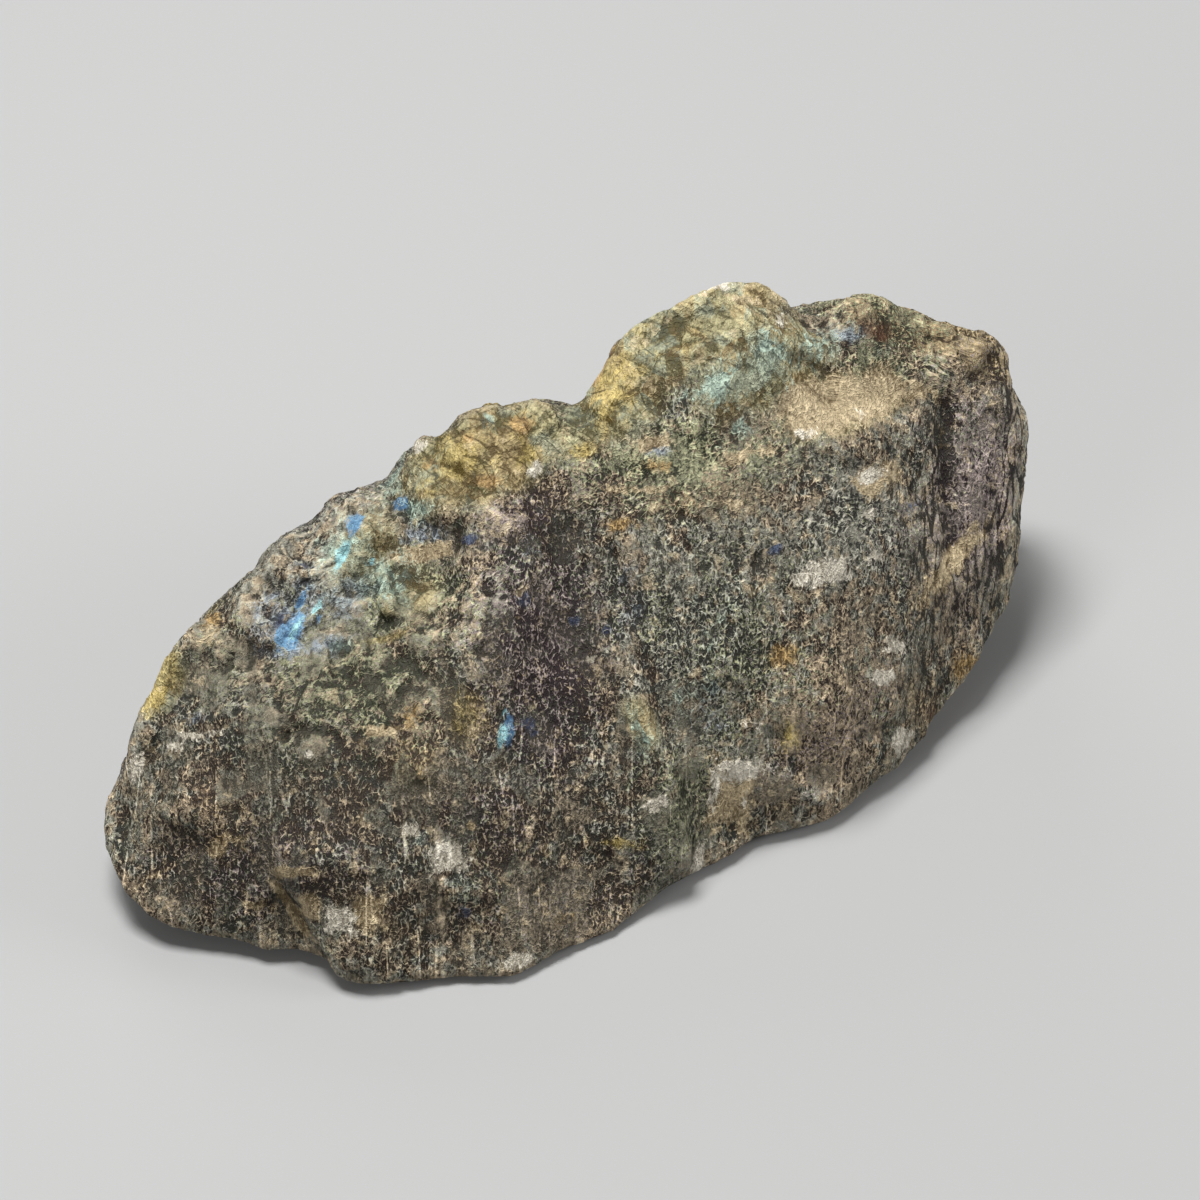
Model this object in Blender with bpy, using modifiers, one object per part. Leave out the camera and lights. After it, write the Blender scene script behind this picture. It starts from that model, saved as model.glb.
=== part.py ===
import math

import bmesh
import bpy
import numpy as np
from mathutils import Vector, noise

# A rough chunk of labradorite, broken from the rock and lying on its one flat side.
# It is laid out as a row of upright cross-sections, in millimetres: x runs along the row
# from the low blunt end to the high square end, y from the dark front face to the back,
# and z up from the ground. Edges that run the length of the stone are lines through the
# corners where it is broken, and every section takes its own corners from those lines.

MM = 0.001
NODE = "labradorite_chunk"
SKEW_DEG = 23.5  # the sections cross the stone's own length at this angle

# Crest: the jagged top edge, a low hump, a taller dome and a broken-off corner.
CREST = (
    (-56.5, -18.0, 10.5), (-54.5, -16.0, 19.5), (-51.5, -12.0, 25.0), (-47.5, -8.5, 29.0),
    (-44.5, -6.5, 27.0), (-43.0, -5.0, 30.5), (-41.0, -3.0, 30.5), (-37.5, 1.5, 33.0),
    (-34.0, 5.0, 32.0), (-31.5, 7.5, 34.0), (-25.0, 9.5, 34.0), (-23.5, 10.0, 36.0),
    (-21.5, 10.5, 40.5), (-20.0, 10.5, 40.0), (-19.0, 11.0, 39.0), (-18.0, 11.0, 41.5),
    (-15.0, 12.0, 43.5), (-8.0, 13.0, 44.0), (-4.5, 14.0, 42.0), (-2.0, 15.0, 43.0),
    (0.5, 17.0, 45.5), (4.0, 20.0, 50.5), (8.0, 22.5, 52.0), (14.5, 25.0, 53.0),
    (19.0, 26.0, 52.0), (21.5, 26.0, 50.5), (24.5, 26.5, 47.0), (27.0, 27.0, 46.5),
    (30.0, 29.0, 48.0), (33.0, 30.5, 46.5), (36.0, 31.0, 43.5), (39.5, 32.0, 41.5),
    (47.5, 33.0, 39.0), (48.5, 33.0, 37.5), (50.0, 32.0, 34.5), (50.5, 32.0, 29.5),
)
# Belly: the front face's lower edge, just above the ground and lifted at both ends.
BELLY = (
    (-56.5, -31.0, 6.0), (-53.0, -34.0, 4.0), (-51.0, -35.0, 3.5), (-46.5, -35.5, 2.5),
    (-43.0, -36.0, 2.5), (-39.5, -37.5, 2.0), (-35.5, -37.0, 2.0), (-34.5, -38.0, 2.0),
    (-32.0, -38.5, 1.5), (-31.0, -41.0, 1.5), (-28.5, -42.5, 1.5), (-23.5, -42.5, 1.0),
    (-17.5, -41.5, 1.0), (-10.0, -41.5, 1.0), (-4.0, -36.5, 1.0), (1.5, -34.0, 1.0),
    (8.0, -26.0, 1.0), (15.5, -21.0, 1.0), (18.5, -18.0, 1.0), (27.5, -15.0, 1.0),
    (35.0, -7.5, 2.0), (38.0, -4.0, 3.0), (43.0, 4.0, 5.0), (46.0, 6.5, 7.0),
    (47.5, 11.0, 8.0), (50.5, 15.0, 10.0),
)
# Ridge: where the steep front face breaks into the brighter shoulder above it.
RIDGE = (
    (-56.5, -21.0, 9.0), (-53.5, -17.0, 18.0), (-49.0, -15.0, 23.0), (-43.5, -13.0, 27.0),
    (-36.5, -13.0, 27.0), (-29.5, -13.0, 28.0), (-21.5, -11.0, 28.5), (-17.0, -8.0, 33.0),
    (-14.0, -4.0, 38.5), (-8.5, 0.0, 40.0), (-3.0, 3.0, 39.0), (2.5, 3.0, 40.5),
    (11.5, 4.0, 42.5), (21.5, 9.0, 41.0), (31.0, 14.0, 39.5), (37.0, 19.0, 38.0),
    (43.5, 23.0, 36.0), (49.0, 25.0, 33.5), (50.5, 26.0, 31.5),
)
# Brow, waist and heel: the top, middle and foot of the steep back face.
BROW = (
    (-56.5, -14.5, 9.5), (-50.0, -6.0, 22.0), (-43.0, 2.0, 24.5), (-34.0, 10.0, 27.0),
    (-22.0, 17.0, 33.0), (-12.0, 20.0, 38.0), (-2.0, 22.0, 36.0), (6.0, 29.0, 44.0),
    (16.0, 33.5, 45.0), (26.0, 35.0, 40.0), (34.0, 38.5, 39.0), (44.0, 39.5, 32.5),
    (50.5, 37.0, 26.5),
)
WAIST = (
    (-56.5, -13.5, 8.0), (-50.0, -2.0, 14.0), (-40.0, 8.0, 16.0), (-28.0, 20.5, 14.0),
    (-14.0, 28.0, 18.0), (-3.0, 28.0, 21.0), (9.0, 38.5, 23.0), (22.0, 43.0, 20.0),
    (35.0, 44.0, 22.0), (45.0, 43.5, 18.0), (50.5, 40.5, 18.5),
)
HEEL = (
    (-56.5, -13.0, 6.5), (-50.0, -2.0, 5.0), (-41.0, 9.0, 4.0), (-31.0, 17.0, 3.0),
    (-18.0, 26.0, 3.0), (-6.0, 29.0, 3.0), (2.0, 33.0, 4.0), (11.0, 40.0, 4.0),
    (22.0, 44.0, 3.0), (33.0, 44.0, 4.0), (44.0, 43.0, 6.5), (50.5, 39.0, 12.0),
)
BELLY_RISE, HEEL_RISE = 1.5, 4.0  # an edge no higher than this meets the sole, a higher one is undercut
SOLE_INSET, SOLE_SHARE = 3.0, 0.25  # the undercut, and the most of the stone's depth that it takes
SOLE_SNAP = 0.35  # whatever ends this close to the ground lies flat on it

# How far the front face swells out of the straight line from belly to ridge, by x.
FRONT_SWELL = (
    (-56.5, 0.5), (-47.0, 3.0), (-36.0, 6.0), (-22.0, 6.5), (-13.0, 4.5), (-4.0, 1.0),
    (3.0, 1.5), (13.0, 4.5), (26.0, 6.0), (38.0, 4.0), (45.0, 1.5), (50.5, 0.5),
)
SHOULDER_SWELL, CROWN_SWELL, BACK_SWELL, FOOT_SWELL = 1.2, 0.2, 1.0, 1.5

SECTION_GAP = 0.8
FRONT_FACES, SHOULDER_FACES, CROWN_FACES, BACK_FACES, FOOT_FACES = 20, 8, 5, 8, 7
EASE_WINDOW, EASE_STEPS = 7.0, 4  # a jagged line is evened out over this much on either side
JAG_REACH = 4.5  # and its corners fade into the faces beside it over this

# Each end closes by sections that shrink towards a tip, as (x, size) pairs.
LOW_TIP, LOW_NOSE = Vector((-58.9, -24.0, 9.5)), ((-57.5, 0.7), (-58.7, 0.4))
HIGH_TIP, HIGH_NOSE = Vector((52.7, 30.0, 26.0)), ((51.1, 0.8), (51.5, 0.6), (52.1, 0.4), (52.6, 0.16))

# Flat breaks across the back and the ends: a point on each and the way that it faces.
BREAKS = {
    "high back": ((16.0, 41.0, 22.0), (0.05, 1.0, 0.1)),
    "high back foot": ((24.0, 42.5, 6.0), (0.05, 1.0, -0.6)),
    "dome back": ((12.0, 30.5, 45.5), (-0.05, 0.9, 0.45)),
    "hump back": ((-14.0, 19.5, 34.0), (-0.6, 1.0, 0.6)),
    "corner back": ((46.0, 41.0, 20.0), (0.45, 1.0, 0.15)),
    "low back": ((-29.0, 17.5, 14.0), (-0.55, 1.0, 0.1)),
    "low back foot": ((-30.0, 17.0, 4.0), (-0.6, 1.0, -0.35)),
}

# The skin: an even fine mesh is broken up, and then thinned to what its form needs.
FINE_FACE = 0.9
KEPT_SHARE = 0.15
CREASE_DEG = 20.0

# Cleavage: the stone splits in flat terraces, set back by a pitch, in blocks of broken size.
CLEAVAGES = {
    "high back": {"facing": (0.05, 1.0, 0.1), "pitch": 2.4, "block": 13.0},
    "low back": {"facing": (-0.55, 1.0, 0.1), "pitch": 2.2, "block": 12.0},
    "brow": {"facing": (-0.1, 0.75, 0.65), "pitch": 1.6, "block": 9.0},
    "low shoulder": {"facing": (-0.3, -0.25, 0.92), "pitch": 1.5, "block": 9.0},
    "high shoulder": {"facing": (0.1, -0.45, 0.88), "pitch": 1.5, "block": 9.0},
    "high end": {"facing": (1.0, -0.2, 0.05), "pitch": 1.6, "block": 9.0},
    "low end": {"facing": (-1.0, -0.3, 0.35), "pitch": 1.6, "block": 9.0},
}
FACING_NEAR, FACING_FAR = 0.985, 0.93  # terraces are whole, or gone, where the skin turns this far from them
RISER = 0.16  # half the width of the step between terraces, as a share of the pitch
BLOCK_TILT = 0.16
TILT_KEY, LEVEL_KEY = 31.7, 17.3  # each turns a cell's own seed into its random tilt or level

# Chips: shallow scoops of broken size that meet in crisp ridges, as depths on each side.
CHIP_DEPTH = {"front": 0.65, "shoulder": 1.4, "back": 1.5}
CHIP_SIZE = Vector((8.5, 7.0, 6.5))
CHIP_TILT, CHIP_BOWL, CHIP_MEAN = 2.6, 0.9, 0.1
LUMP_SIZE, LUMP_DEPTH = 13.0, 0.8
LUMP_SHIFT = Vector((3.0, 8.0, 5.0))
EDGE_HOLD, EDGE_NEAR, EDGE_REACH = 0.2, 0.5, 3.5  # the outline keeps this share of the relief, this close
SIDE_FADE = 3.0
SOLE_FACING = -0.8

# Grooves run from one point to another over the surface, and cut this deep.
GROOVES = {
    "end groove": {"start": (42.0, 22.0, 36.0), "end": (42.5, 12.0, 22.0), "width": 1.9, "depth": 2.0},
    "gully": {"start": (-5.0, 0.0, 38.0), "end": (-1.0, -14.0, 20.0), "width": 5.0, "depth": 1.8},
    "dome cleft": {"start": (0.5, 4.0, 41.0), "end": (-2.0, 15.0, 43.0), "width": 2.2, "depth": 1.6},
    "corner cleft": {"start": (27.0, 14.0, 41.0), "end": (26.0, 27.0, 46.5), "width": 2.4, "depth": 1.5},
    "hump cleft": {"start": (-24.0, 0.0, 33.0), "end": (-19.0, 11.0, 39.0), "width": 2.0, "depth": 1.2},
    "back cleft": {"start": (-3.0, 22.0, 38.0), "end": (2.0, 33.0, 6.0), "width": 4.0, "depth": 2.5},
}
# Ledges stand proud on one side of a line, and fade away from it over their reach.
LEDGES = {
    "lobe edge": {"start": (4.0, -11.0, 24.0), "end": (10.5, -24.0, 4.0), "raise": 2.4, "reach": 12.0},
    "toe step": {"start": (-32.0, -42.0, 1.0), "end": (-37.5, -33.0, 13.0), "raise": 2.2, "reach": 12.0},
    "shelf": {"start": (33.0, -2.0, 8.0), "end": (18.0, -8.0, 14.0), "raise": 1.2, "reach": 9.0},
    "flank": {"start": (-46.0, -27.0, 14.0), "end": (-52.0, -27.0, 9.0), "raise": 1.2, "reach": 7.0},
}
STEP_WIDTH = 1.0
STEP_START, STEP_END = (-0.35, 0.1), (0.9, 1.35)  # a ledge grows and dies over these shares of its line


def blend(edge0, edge1, value):
    share = min(1.0, max(0.0, (value - edge0) / (edge1 - edge0)))
    return share * share * (3.0 - 2.0 * share)


def line_at(line, x):
    """The line's point at x, straight between its corners."""
    x = min(line[-1][0], max(line[0][0], x))
    for before, after in zip(line, line[1:]):
        if x <= after[0]:
            share = (x - before[0]) / (after[0] - before[0])
            return Vector(before).lerp(Vector(after), share)
    return Vector(line[-1])


def eased(line, x):
    """The line's point at x with its corners averaged away."""
    reach = max(0.0, min(EASE_WINDOW, x - line[0][0], line[-1][0] - x))
    total = 0.0 * line_at(line, x)
    weights = 0.0
    for step in range(-EASE_STEPS, EASE_STEPS + 1):
        weight = EASE_STEPS + 0.5 - abs(step)
        total += weight * line_at(line, x + reach * step / EASE_STEPS)
        weights += weight
    return total / weights


def bowed(start, end, faces, swell):
    """Points from start up to, not including, end, bowed outwards."""
    along = end - start
    outward = Vector((0.0, -along.z, along.y)).normalized()
    shares = [i / faces for i in range(faces)]
    return [start + along * share + outward * swell * math.sin(math.pi * share) for share in shares]


def sole_corner(edge, inward, rise):
    """Where the underside starts, in from an edge: on the ground, or lifted where the edge is."""
    return Vector((edge.x, edge.y + inward, max(0.0, edge.z - rise)))


def section(x):
    """The corners of the stone's closed section at x, up the front, over the crest and down the back."""
    crest, belly = eased(CREST, x), eased(BELLY, x)
    ridge, brow, waist, heel = (eased(line, x) for line in (RIDGE, BROW, WAIST, HEEL))
    crest_jag = line_at(CREST, x) - crest
    belly_jag = line_at(BELLY, x) - belly
    ring = bowed(belly, ridge, FRONT_FACES, eased(FRONT_SWELL, x).y)
    ring += bowed(ridge, crest, SHOULDER_FACES, SHOULDER_SWELL)
    ring += bowed(crest, brow, CROWN_FACES, CROWN_SWELL)
    ring += bowed(brow, waist, BACK_FACES, BACK_SWELL)
    ring += bowed(waist, heel, FOOT_FACES, FOOT_SWELL)
    ring.append(heel)
    for point in ring:
        near_crest = math.exp(-((point - crest).length / JAG_REACH) ** 2)
        near_belly = math.exp(-((point - belly).length / JAG_REACH) ** 2)
        point += crest_jag * near_crest + belly_jag * near_belly
    inset = min(SOLE_INSET, SOLE_SHARE * (heel.y - belly.y))
    ring.append(sole_corner(heel, -inset, HEEL_RISE))
    ring.append(sole_corner(belly + belly_jag, inset, BELLY_RISE))
    return [Vector((x, point.y, point.z)) for point in ring]


def all_sections():
    low_x, high_x = CREST[0][0], CREST[-1][0]
    count = round((high_x - low_x) / SECTION_GAP)
    rows = [section(low_x + (high_x - low_x) * i / count) for i in range(count + 1)]
    low_nose = [shrunk(rows[0], LOW_TIP, x, size) for x, size in LOW_NOSE]
    high_nose = [shrunk(rows[-1], HIGH_TIP, x, size) for x, size in HIGH_NOSE]
    return low_nose[::-1] + rows + high_nose


def shrunk(ring, tip, x, size):
    """A copy of an end section at x, shrunk towards the tip."""
    toward = [tip.lerp(point, size) for point in ring]
    return [Vector((x, point.y, point.z)) for point in toward]


def lofted_block():
    """The closed skin through all the sections."""
    block = bmesh.new()
    rows = [[block.verts.new(point) for point in ring] for ring in all_sections()]
    count = len(rows[0])
    for near, far in zip(rows, rows[1:]):
        for i in range(count):
            j = (i + 1) % count
            block.faces.new((near[i], near[j], far[j], far[i]))
    block.faces.new(rows[0][::-1])
    block.faces.new(rows[-1])
    bmesh.ops.recalc_face_normals(block, faces=block.faces)
    return block


def break_off(block):
    """Takes off what stands beyond each flat break."""
    for point, facing in BREAKS.values():
        everything = block.verts[:] + block.edges[:] + block.faces[:]
        bmesh.ops.bisect_plane(block, geom=everything, plane_co=point, plane_no=facing, clear_outer=True)
        bmesh.ops.holes_fill(block, edges=block.edges)
    bmesh.ops.recalc_face_normals(block, faces=block.faces)


def random_tilt(seed):
    """A broken cell's own slope, up to a half each way."""
    return noise.cell_vector(seed * TILT_KEY) - Vector((0.5, 0.5, 0.5))


def terrace_move(point, cleavage, facing):
    """How far the point moves along the cleavage's facing to reach its own block's nearest terrace."""
    seed = noise.voronoi(point / cleavage["block"])[1][0]
    slope = BLOCK_TILT * random_tilt(seed).dot(point - seed * cleavage["block"])
    steps = (point.dot(facing) + slope) / cleavage["pitch"] + noise.cell(seed * LEVEL_KEY)
    share = steps - math.floor(steps)
    return cleavage["pitch"] * (blend(0.5 - RISER, 0.5 + RISER, share) - share)


def cleaving(point, normal):
    """The whole move from the smooth skin to the terraces that face this way."""
    move = Vector((0.0, 0.0, 0.0))
    for cleavage in CLEAVAGES.values():
        facing = Vector(cleavage["facing"]).normalized()
        share = blend(FACING_FAR, FACING_NEAR, normal.dot(facing))
        if share > 0.0:
            move += share * terrace_move(point, cleavage, facing) * facing
    return move


def chipping(point):
    """Each cell of broken stone is a tilted scoop, and the deepest scoop is what is left."""
    place = Vector((point.x / CHIP_SIZE.x, point.y / CHIP_SIZE.y, point.z / CHIP_SIZE.z))
    scoops = []
    for gap, seed in zip(*noise.voronoi(place)):
        slope = CHIP_TILT * random_tilt(seed).dot(place - seed)
        scoops.append(noise.cell(seed * LEVEL_KEY) + slope + CHIP_BOWL * gap * gap)
    return min(scoops) - CHIP_MEAN


def nearest_on(point, start, end):
    """Share along the segment, and the offset from the nearest place on it."""
    run = end - start
    share = (point - start).dot(run) / run.length_squared
    return share, point - (start + run * min(1.0, max(0.0, share)))


def grooving(point):
    """How deep the grooves cut here."""
    cut = 0.0
    for groove in GROOVES.values():
        _, offset = nearest_on(point, Vector(groove["start"]), Vector(groove["end"]))
        cut += groove["depth"] * math.exp(-((offset.length / groove["width"]) ** 2))
    return cut


def stepping(point, normal):
    """How far the ledges stand proud here: sharp on one side, fading on the other."""
    raised = 0.0
    for ledge in LEDGES.values():
        start, end = Vector(ledge["start"]), Vector(ledge["end"])
        share, offset = nearest_on(point, start, end)
        side = (end - start).cross(normal).normalized().dot(offset)
        fade = blend(*STEP_START, share) * (1.0 - blend(*STEP_END, share))
        fade *= max(0.0, 1.0 - (offset.length / ledge["reach"]) ** 2)
        raised += ledge["raise"] * fade * blend(-STEP_WIDTH, STEP_WIDTH, side)
    return raised


def side_shares(point):
    """How much a place belongs to the front, the shoulder and the back."""
    crest, ridge = eased(CREST, point.x), eased(RIDGE, point.x)
    back = blend(crest.y, crest.y + SIDE_FADE, point.y)
    front = (1.0 - back) * (1.0 - blend(ridge.z - SIDE_FADE, ridge.z + SIDE_FADE, point.z))
    return {"front": front, "shoulder": 1.0 - back - front, "back": back}


def edge_hold(point):
    """The share of the relief that is kept: less of it on the crest, the belly and the ends."""
    nearest = min((line_at(line, point.x) - point).length for line in (CREST, BELLY))
    nearest = min(nearest, 0.5 * (point.x - LOW_TIP.x), 0.5 * (HIGH_TIP.x - point.x))
    return EDGE_HOLD + (1.0 - EDGE_HOLD) * blend(EDGE_NEAR, EDGE_REACH, nearest)


def relief(point, normal):
    """The move from the smooth skin to the broken one."""
    if normal.z < SOLE_FACING:
        return Vector((0.0, 0.0, 0.0))
    chip_depth = sum(CHIP_DEPTH[side] * share for side, share in side_shares(point).items())
    outward = LUMP_DEPTH * noise.noise(point / LUMP_SIZE + LUMP_SHIFT) + chip_depth * chipping(point)
    outward += stepping(point, normal) - grooving(point)
    return edge_hold(point) * (outward * normal + cleaving(point, normal))


def evaluated_mesh(thing):
    """The thing's mesh as its modifiers leave it."""
    bpy.context.view_layer.update()
    return bpy.data.meshes.new_from_object(thing.evaluated_get(bpy.context.evaluated_depsgraph_get()))


def point_normals(mesh):
    """Each point's own normal on a skin of quads, summed in a fixed order."""
    corners = np.empty(len(mesh.loops), np.int32)
    mesh.loops.foreach_get("vertex_index", corners)
    faces = np.empty(len(mesh.polygons) * 3, np.float32)
    mesh.polygons.foreach_get("normal", faces)
    sums = np.zeros((len(mesh.vertices), 3))
    np.add.at(sums, corners, np.repeat(faces.reshape(-1, 3), 4, axis=0))
    return [Vector(normal).normalized() for normal in sums]


def roughened(even):
    """The even skin broken up, built afresh so that its edges keep one order."""
    skin = bmesh.new()
    for vert, normal in zip(even.vertices, point_normals(even)):
        skin.verts.new(vert.co + relief(vert.co / MM, normal) * MM)
    skin.verts.ensure_lookup_table()
    for polygon in even.polygons:
        skin.faces.new([skin.verts[i] for i in polygon.vertices])
    mesh = bpy.data.meshes.new(NODE)
    skin.to_mesh(mesh)
    skin.free()
    flatten_sole(mesh)
    return mesh


def flatten_sole(mesh):
    for vert in mesh.vertices:
        if vert.co.z < SOLE_SNAP * MM:
            vert.co.z = 0.0


def stone_material():
    stone = bpy.data.materials.new("grey-brown labradorite")
    stone.use_nodes = True
    shader = stone.node_tree.nodes["Principled BSDF"]
    shader.inputs["Base Color"].default_value = (0.105, 0.092, 0.07, 1.0)
    shader.inputs["Roughness"].default_value = 0.6
    shader.inputs["Metallic"].default_value = 0.0
    return stone


def make_chunk(collection):
    block = lofted_block()
    break_off(block)
    bmesh.ops.scale(block, vec=(MM, MM, MM), verts=block.verts)
    mesh = bpy.data.meshes.new(NODE)
    block.to_mesh(mesh)
    block.free()
    chunk = bpy.data.objects.new(NODE, mesh)
    collection.objects.link(chunk)

    even = chunk.modifiers.new("even skin", "REMESH")
    even.mode = "VOXEL"
    even.voxel_size = FINE_FACE * MM
    chunk.data = roughened(evaluated_mesh(chunk))
    chunk.modifiers.remove(even)

    thin = chunk.modifiers.new("thinned skin", "DECIMATE")
    thin.ratio = KEPT_SHARE
    thin.use_collapse_triangulate = True
    chunk.data = evaluated_mesh(chunk)
    chunk.modifiers.remove(thin)
    flatten_sole(chunk.data)

    chunk.data.materials.clear()
    chunk.data.materials.append(stone_material())
    chunk.data.shade_smooth()
    chunk.data.set_sharp_from_angle(angle=math.radians(CREASE_DEG))
    return chunk


def lay_on_ground(chunk):
    """Turns the stone so that its length lies along x, with the origin under the middle of its box."""
    chunk.rotation_euler = (0.0, 0.0, math.radians(-SKEW_DEG))
    bpy.context.view_layer.update()
    corners = [chunk.matrix_world @ vert.co for vert in chunk.data.vertices]
    low = [min(corner[i] for corner in corners) for i in range(3)]
    high = [max(corner[i] for corner in corners) for i in range(3)]
    chunk.location = (-(low[0] + high[0]) / 2.0, -(low[1] + high[1]) / 2.0, -low[2])


def main():
    for leftover in list(bpy.data.objects):
        bpy.data.objects.remove(leftover)
    collection = bpy.data.collections.new("rough labradorite chunk")
    bpy.context.scene.collection.children.link(collection)
    lay_on_ground(make_chunk(collection))


main()
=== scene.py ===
import math

import bmesh
import bpy
import numpy as np
from mathutils import Matrix, Vector


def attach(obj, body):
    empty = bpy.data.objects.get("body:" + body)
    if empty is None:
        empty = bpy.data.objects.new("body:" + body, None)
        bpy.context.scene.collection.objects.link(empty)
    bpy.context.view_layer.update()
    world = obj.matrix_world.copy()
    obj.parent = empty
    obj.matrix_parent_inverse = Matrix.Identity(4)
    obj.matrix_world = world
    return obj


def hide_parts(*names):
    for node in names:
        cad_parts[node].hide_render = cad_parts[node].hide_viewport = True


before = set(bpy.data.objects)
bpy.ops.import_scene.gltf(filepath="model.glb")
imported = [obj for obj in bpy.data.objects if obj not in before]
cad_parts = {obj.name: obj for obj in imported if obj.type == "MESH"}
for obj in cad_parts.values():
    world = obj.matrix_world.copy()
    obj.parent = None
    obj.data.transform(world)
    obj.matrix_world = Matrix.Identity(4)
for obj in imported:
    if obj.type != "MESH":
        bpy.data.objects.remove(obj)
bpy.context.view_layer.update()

mm = 0.001

# where the stone is looked at from
lookFrom = {
    "azimuth": -23.5,  # degrees round from straight in front
    "elevation": 42.0,
    "distance": 750.0,  # millimetres from the aim
    "aim": (0.86, -0.57, 24.0),
    "lens": 187.5,
    "sensor": 36.0,
}


def viewAxes(azimuth, elevation):
    # right, up and back, as seen from that side
    turn, lift = math.radians(azimuth), math.radians(elevation)
    right = Vector((math.cos(turn), math.sin(turn), 0.0))
    back = Vector((math.sin(turn) * math.cos(lift), -math.cos(turn) * math.cos(lift), math.sin(lift)))
    return right, back.cross(right), back


def placeCamera():
    right, up, back = viewAxes(lookFrom["azimuth"], lookFrom["elevation"])
    lens = bpy.data.cameras.new("studio camera")
    lens.sensor_width = lookFrom["sensor"]
    lens.lens = lookFrom["lens"]
    lens.clip_start = 0.01
    camera = bpy.data.objects.new("studio camera", lens)
    where = (Vector(lookFrom["aim"]) + back * lookFrom["distance"]) * mm
    camera.matrix_world = Matrix.Translation(where) @ Matrix((right, up, back)).transposed().to_4x4()
    bpy.context.scene.collection.objects.link(camera)
    bpy.context.scene.camera = camera


class Wire:
    # a node's output that can stand in a sum, in a material or in Geometry Nodes
    def __init__(self, tree, socket):
        self.tree = tree
        self.socket = socket

    def out(self, name):
        return Wire(self.tree, self.socket.node.outputs[name])

    def maths(self, operation, *terms):
        return addNode(self.tree, "ShaderNodeMath", {"operation": operation}, dict(enumerate(terms)))

    def __add__(self, other):
        return self.maths("ADD", self, other)

    def __radd__(self, other):
        return self.maths("ADD", other, self)

    def __sub__(self, other):
        return self.maths("SUBTRACT", self, other)

    def __rsub__(self, other):
        return self.maths("SUBTRACT", other, self)

    def __mul__(self, other):
        return self.maths("MULTIPLY", self, other)

    def __rmul__(self, other):
        return self.maths("MULTIPLY", other, self)

    def __truediv__(self, other):
        return self.maths("DIVIDE", self, other)

    def __rtruediv__(self, other):
        return self.maths("DIVIDE", other, self)

    def __abs__(self):
        return self.maths("ABSOLUTE", self)

    def swing(self, weight):
        # a pattern that lies about 0.5, as an even swing to both sides of 0
        return (self - 0.5) * weight

    def least(self, other):
        return self.maths("MINIMUM", self, other)

    def most(self, other):
        return self.maths("MAXIMUM", self, other)

    def step(self, low, high):
        # 0 below low, 1 above high, and smooth between them
        return addNode(self.tree, "ShaderNodeMapRange", {"interpolation_type": "SMOOTHSTEP"},
                       {"Value": self, "From Min": low, "From Max": high})


def addNode(tree, kind, settings, values):
    node = tree.nodes.new(kind)
    for name, value in settings.items():
        setattr(node, name, value)
    for name, value in values.items():
        if isinstance(value, Wire):
            tree.links.new(value.socket, node.inputs[name])
        else:
            node.inputs[name].default_value = value
    return Wire(tree, node.outputs[0]) if node.outputs else node


def vectorMaths(tree, operation, *terms, scale=None):
    values = dict(enumerate(terms))
    if scale is not None:
        values["Scale"] = scale
    made = addNode(tree, "ShaderNodeVectorMath", {"operation": operation}, values)
    return made.out("Value") if operation == "DOT_PRODUCT" else made


def noise(tree, place, size, detail=2.0, rough=0.5, warp=0.0):
    # soft noise about 0.5, with lumps about that many millimetres across
    values = {"Vector": place, "Scale": 1.0 / size, "Detail": detail, "Roughness": rough, "Distortion": warp}
    return addNode(tree, "ShaderNodeTexNoise", {"noise_dimensions": "3D"}, values)


def cells(tree, place, size, feature="F1"):
    # cells about that many millimetres across
    return addNode(tree, "ShaderNodeTexVoronoi", {"voronoi_dimensions": "3D", "feature": feature},
                   {"Vector": place, "Scale": 1.0 / size})


def shifted(tree, place, shift):
    return vectorMaths(tree, "ADD", place, shift)


def stretched(tree, place, stretch):
    # a pattern read there is that many times longer each way
    return vectorMaths(tree, "MULTIPLY", place, tuple(1.0 / side for side in stretch))


def drawnOut(tree, place, stretch, size):
    # noise with ragged edges, stretched
    return noise(tree, stretched(tree, place, stretch), size, 2.0, 0.6)


def rotated(tree, place, degrees, axis="Z_AXIS"):
    values = {"Vector": place, "Angle": math.radians(degrees)}
    return addNode(tree, "ShaderNodeVectorRotate", {"rotation_type": axis}, values)


def inMillimetres(tree, place):
    return vectorMaths(tree, "SCALE", place, scale=1.0 / mm)


def turnedPlace(tree, place):
    # in millimetres, and turned so that x runs across the camera's view
    return rotated(tree, inMillimetres(tree, place), -lookFrom["azimuth"])


def wandering(tree, place, size, reach):
    # the same place, moved about within that many millimetres
    wander = noise(tree, place, size).out("Color")
    return vectorMaths(tree, "MULTIPLY_ADD", wander, (reach,) * 3, place)


def loosened(tree, place):
    # wandering gently, so that the walls of cells bend
    return wandering(tree, place, 1.0 / 0.12, 5.0)


def pointsOf(mesh):
    points = np.empty(len(mesh.vertices) * 3, np.float32)
    mesh.vertices.foreach_get("co", points)
    return points.reshape(-1, 3).astype(float)


def edgesOf(mesh):
    # every edge once, in a fixed order
    corners = np.empty(len(mesh.loops), np.int32)
    mesh.loops.foreach_get("vertex_index", corners)
    corners = corners.reshape(-1, 4)
    pairs = np.concatenate([corners[:, [i, (i + 1) % 4]] for i in range(4)])
    return np.unique(np.sort(pairs, axis=1), axis=0)


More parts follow.
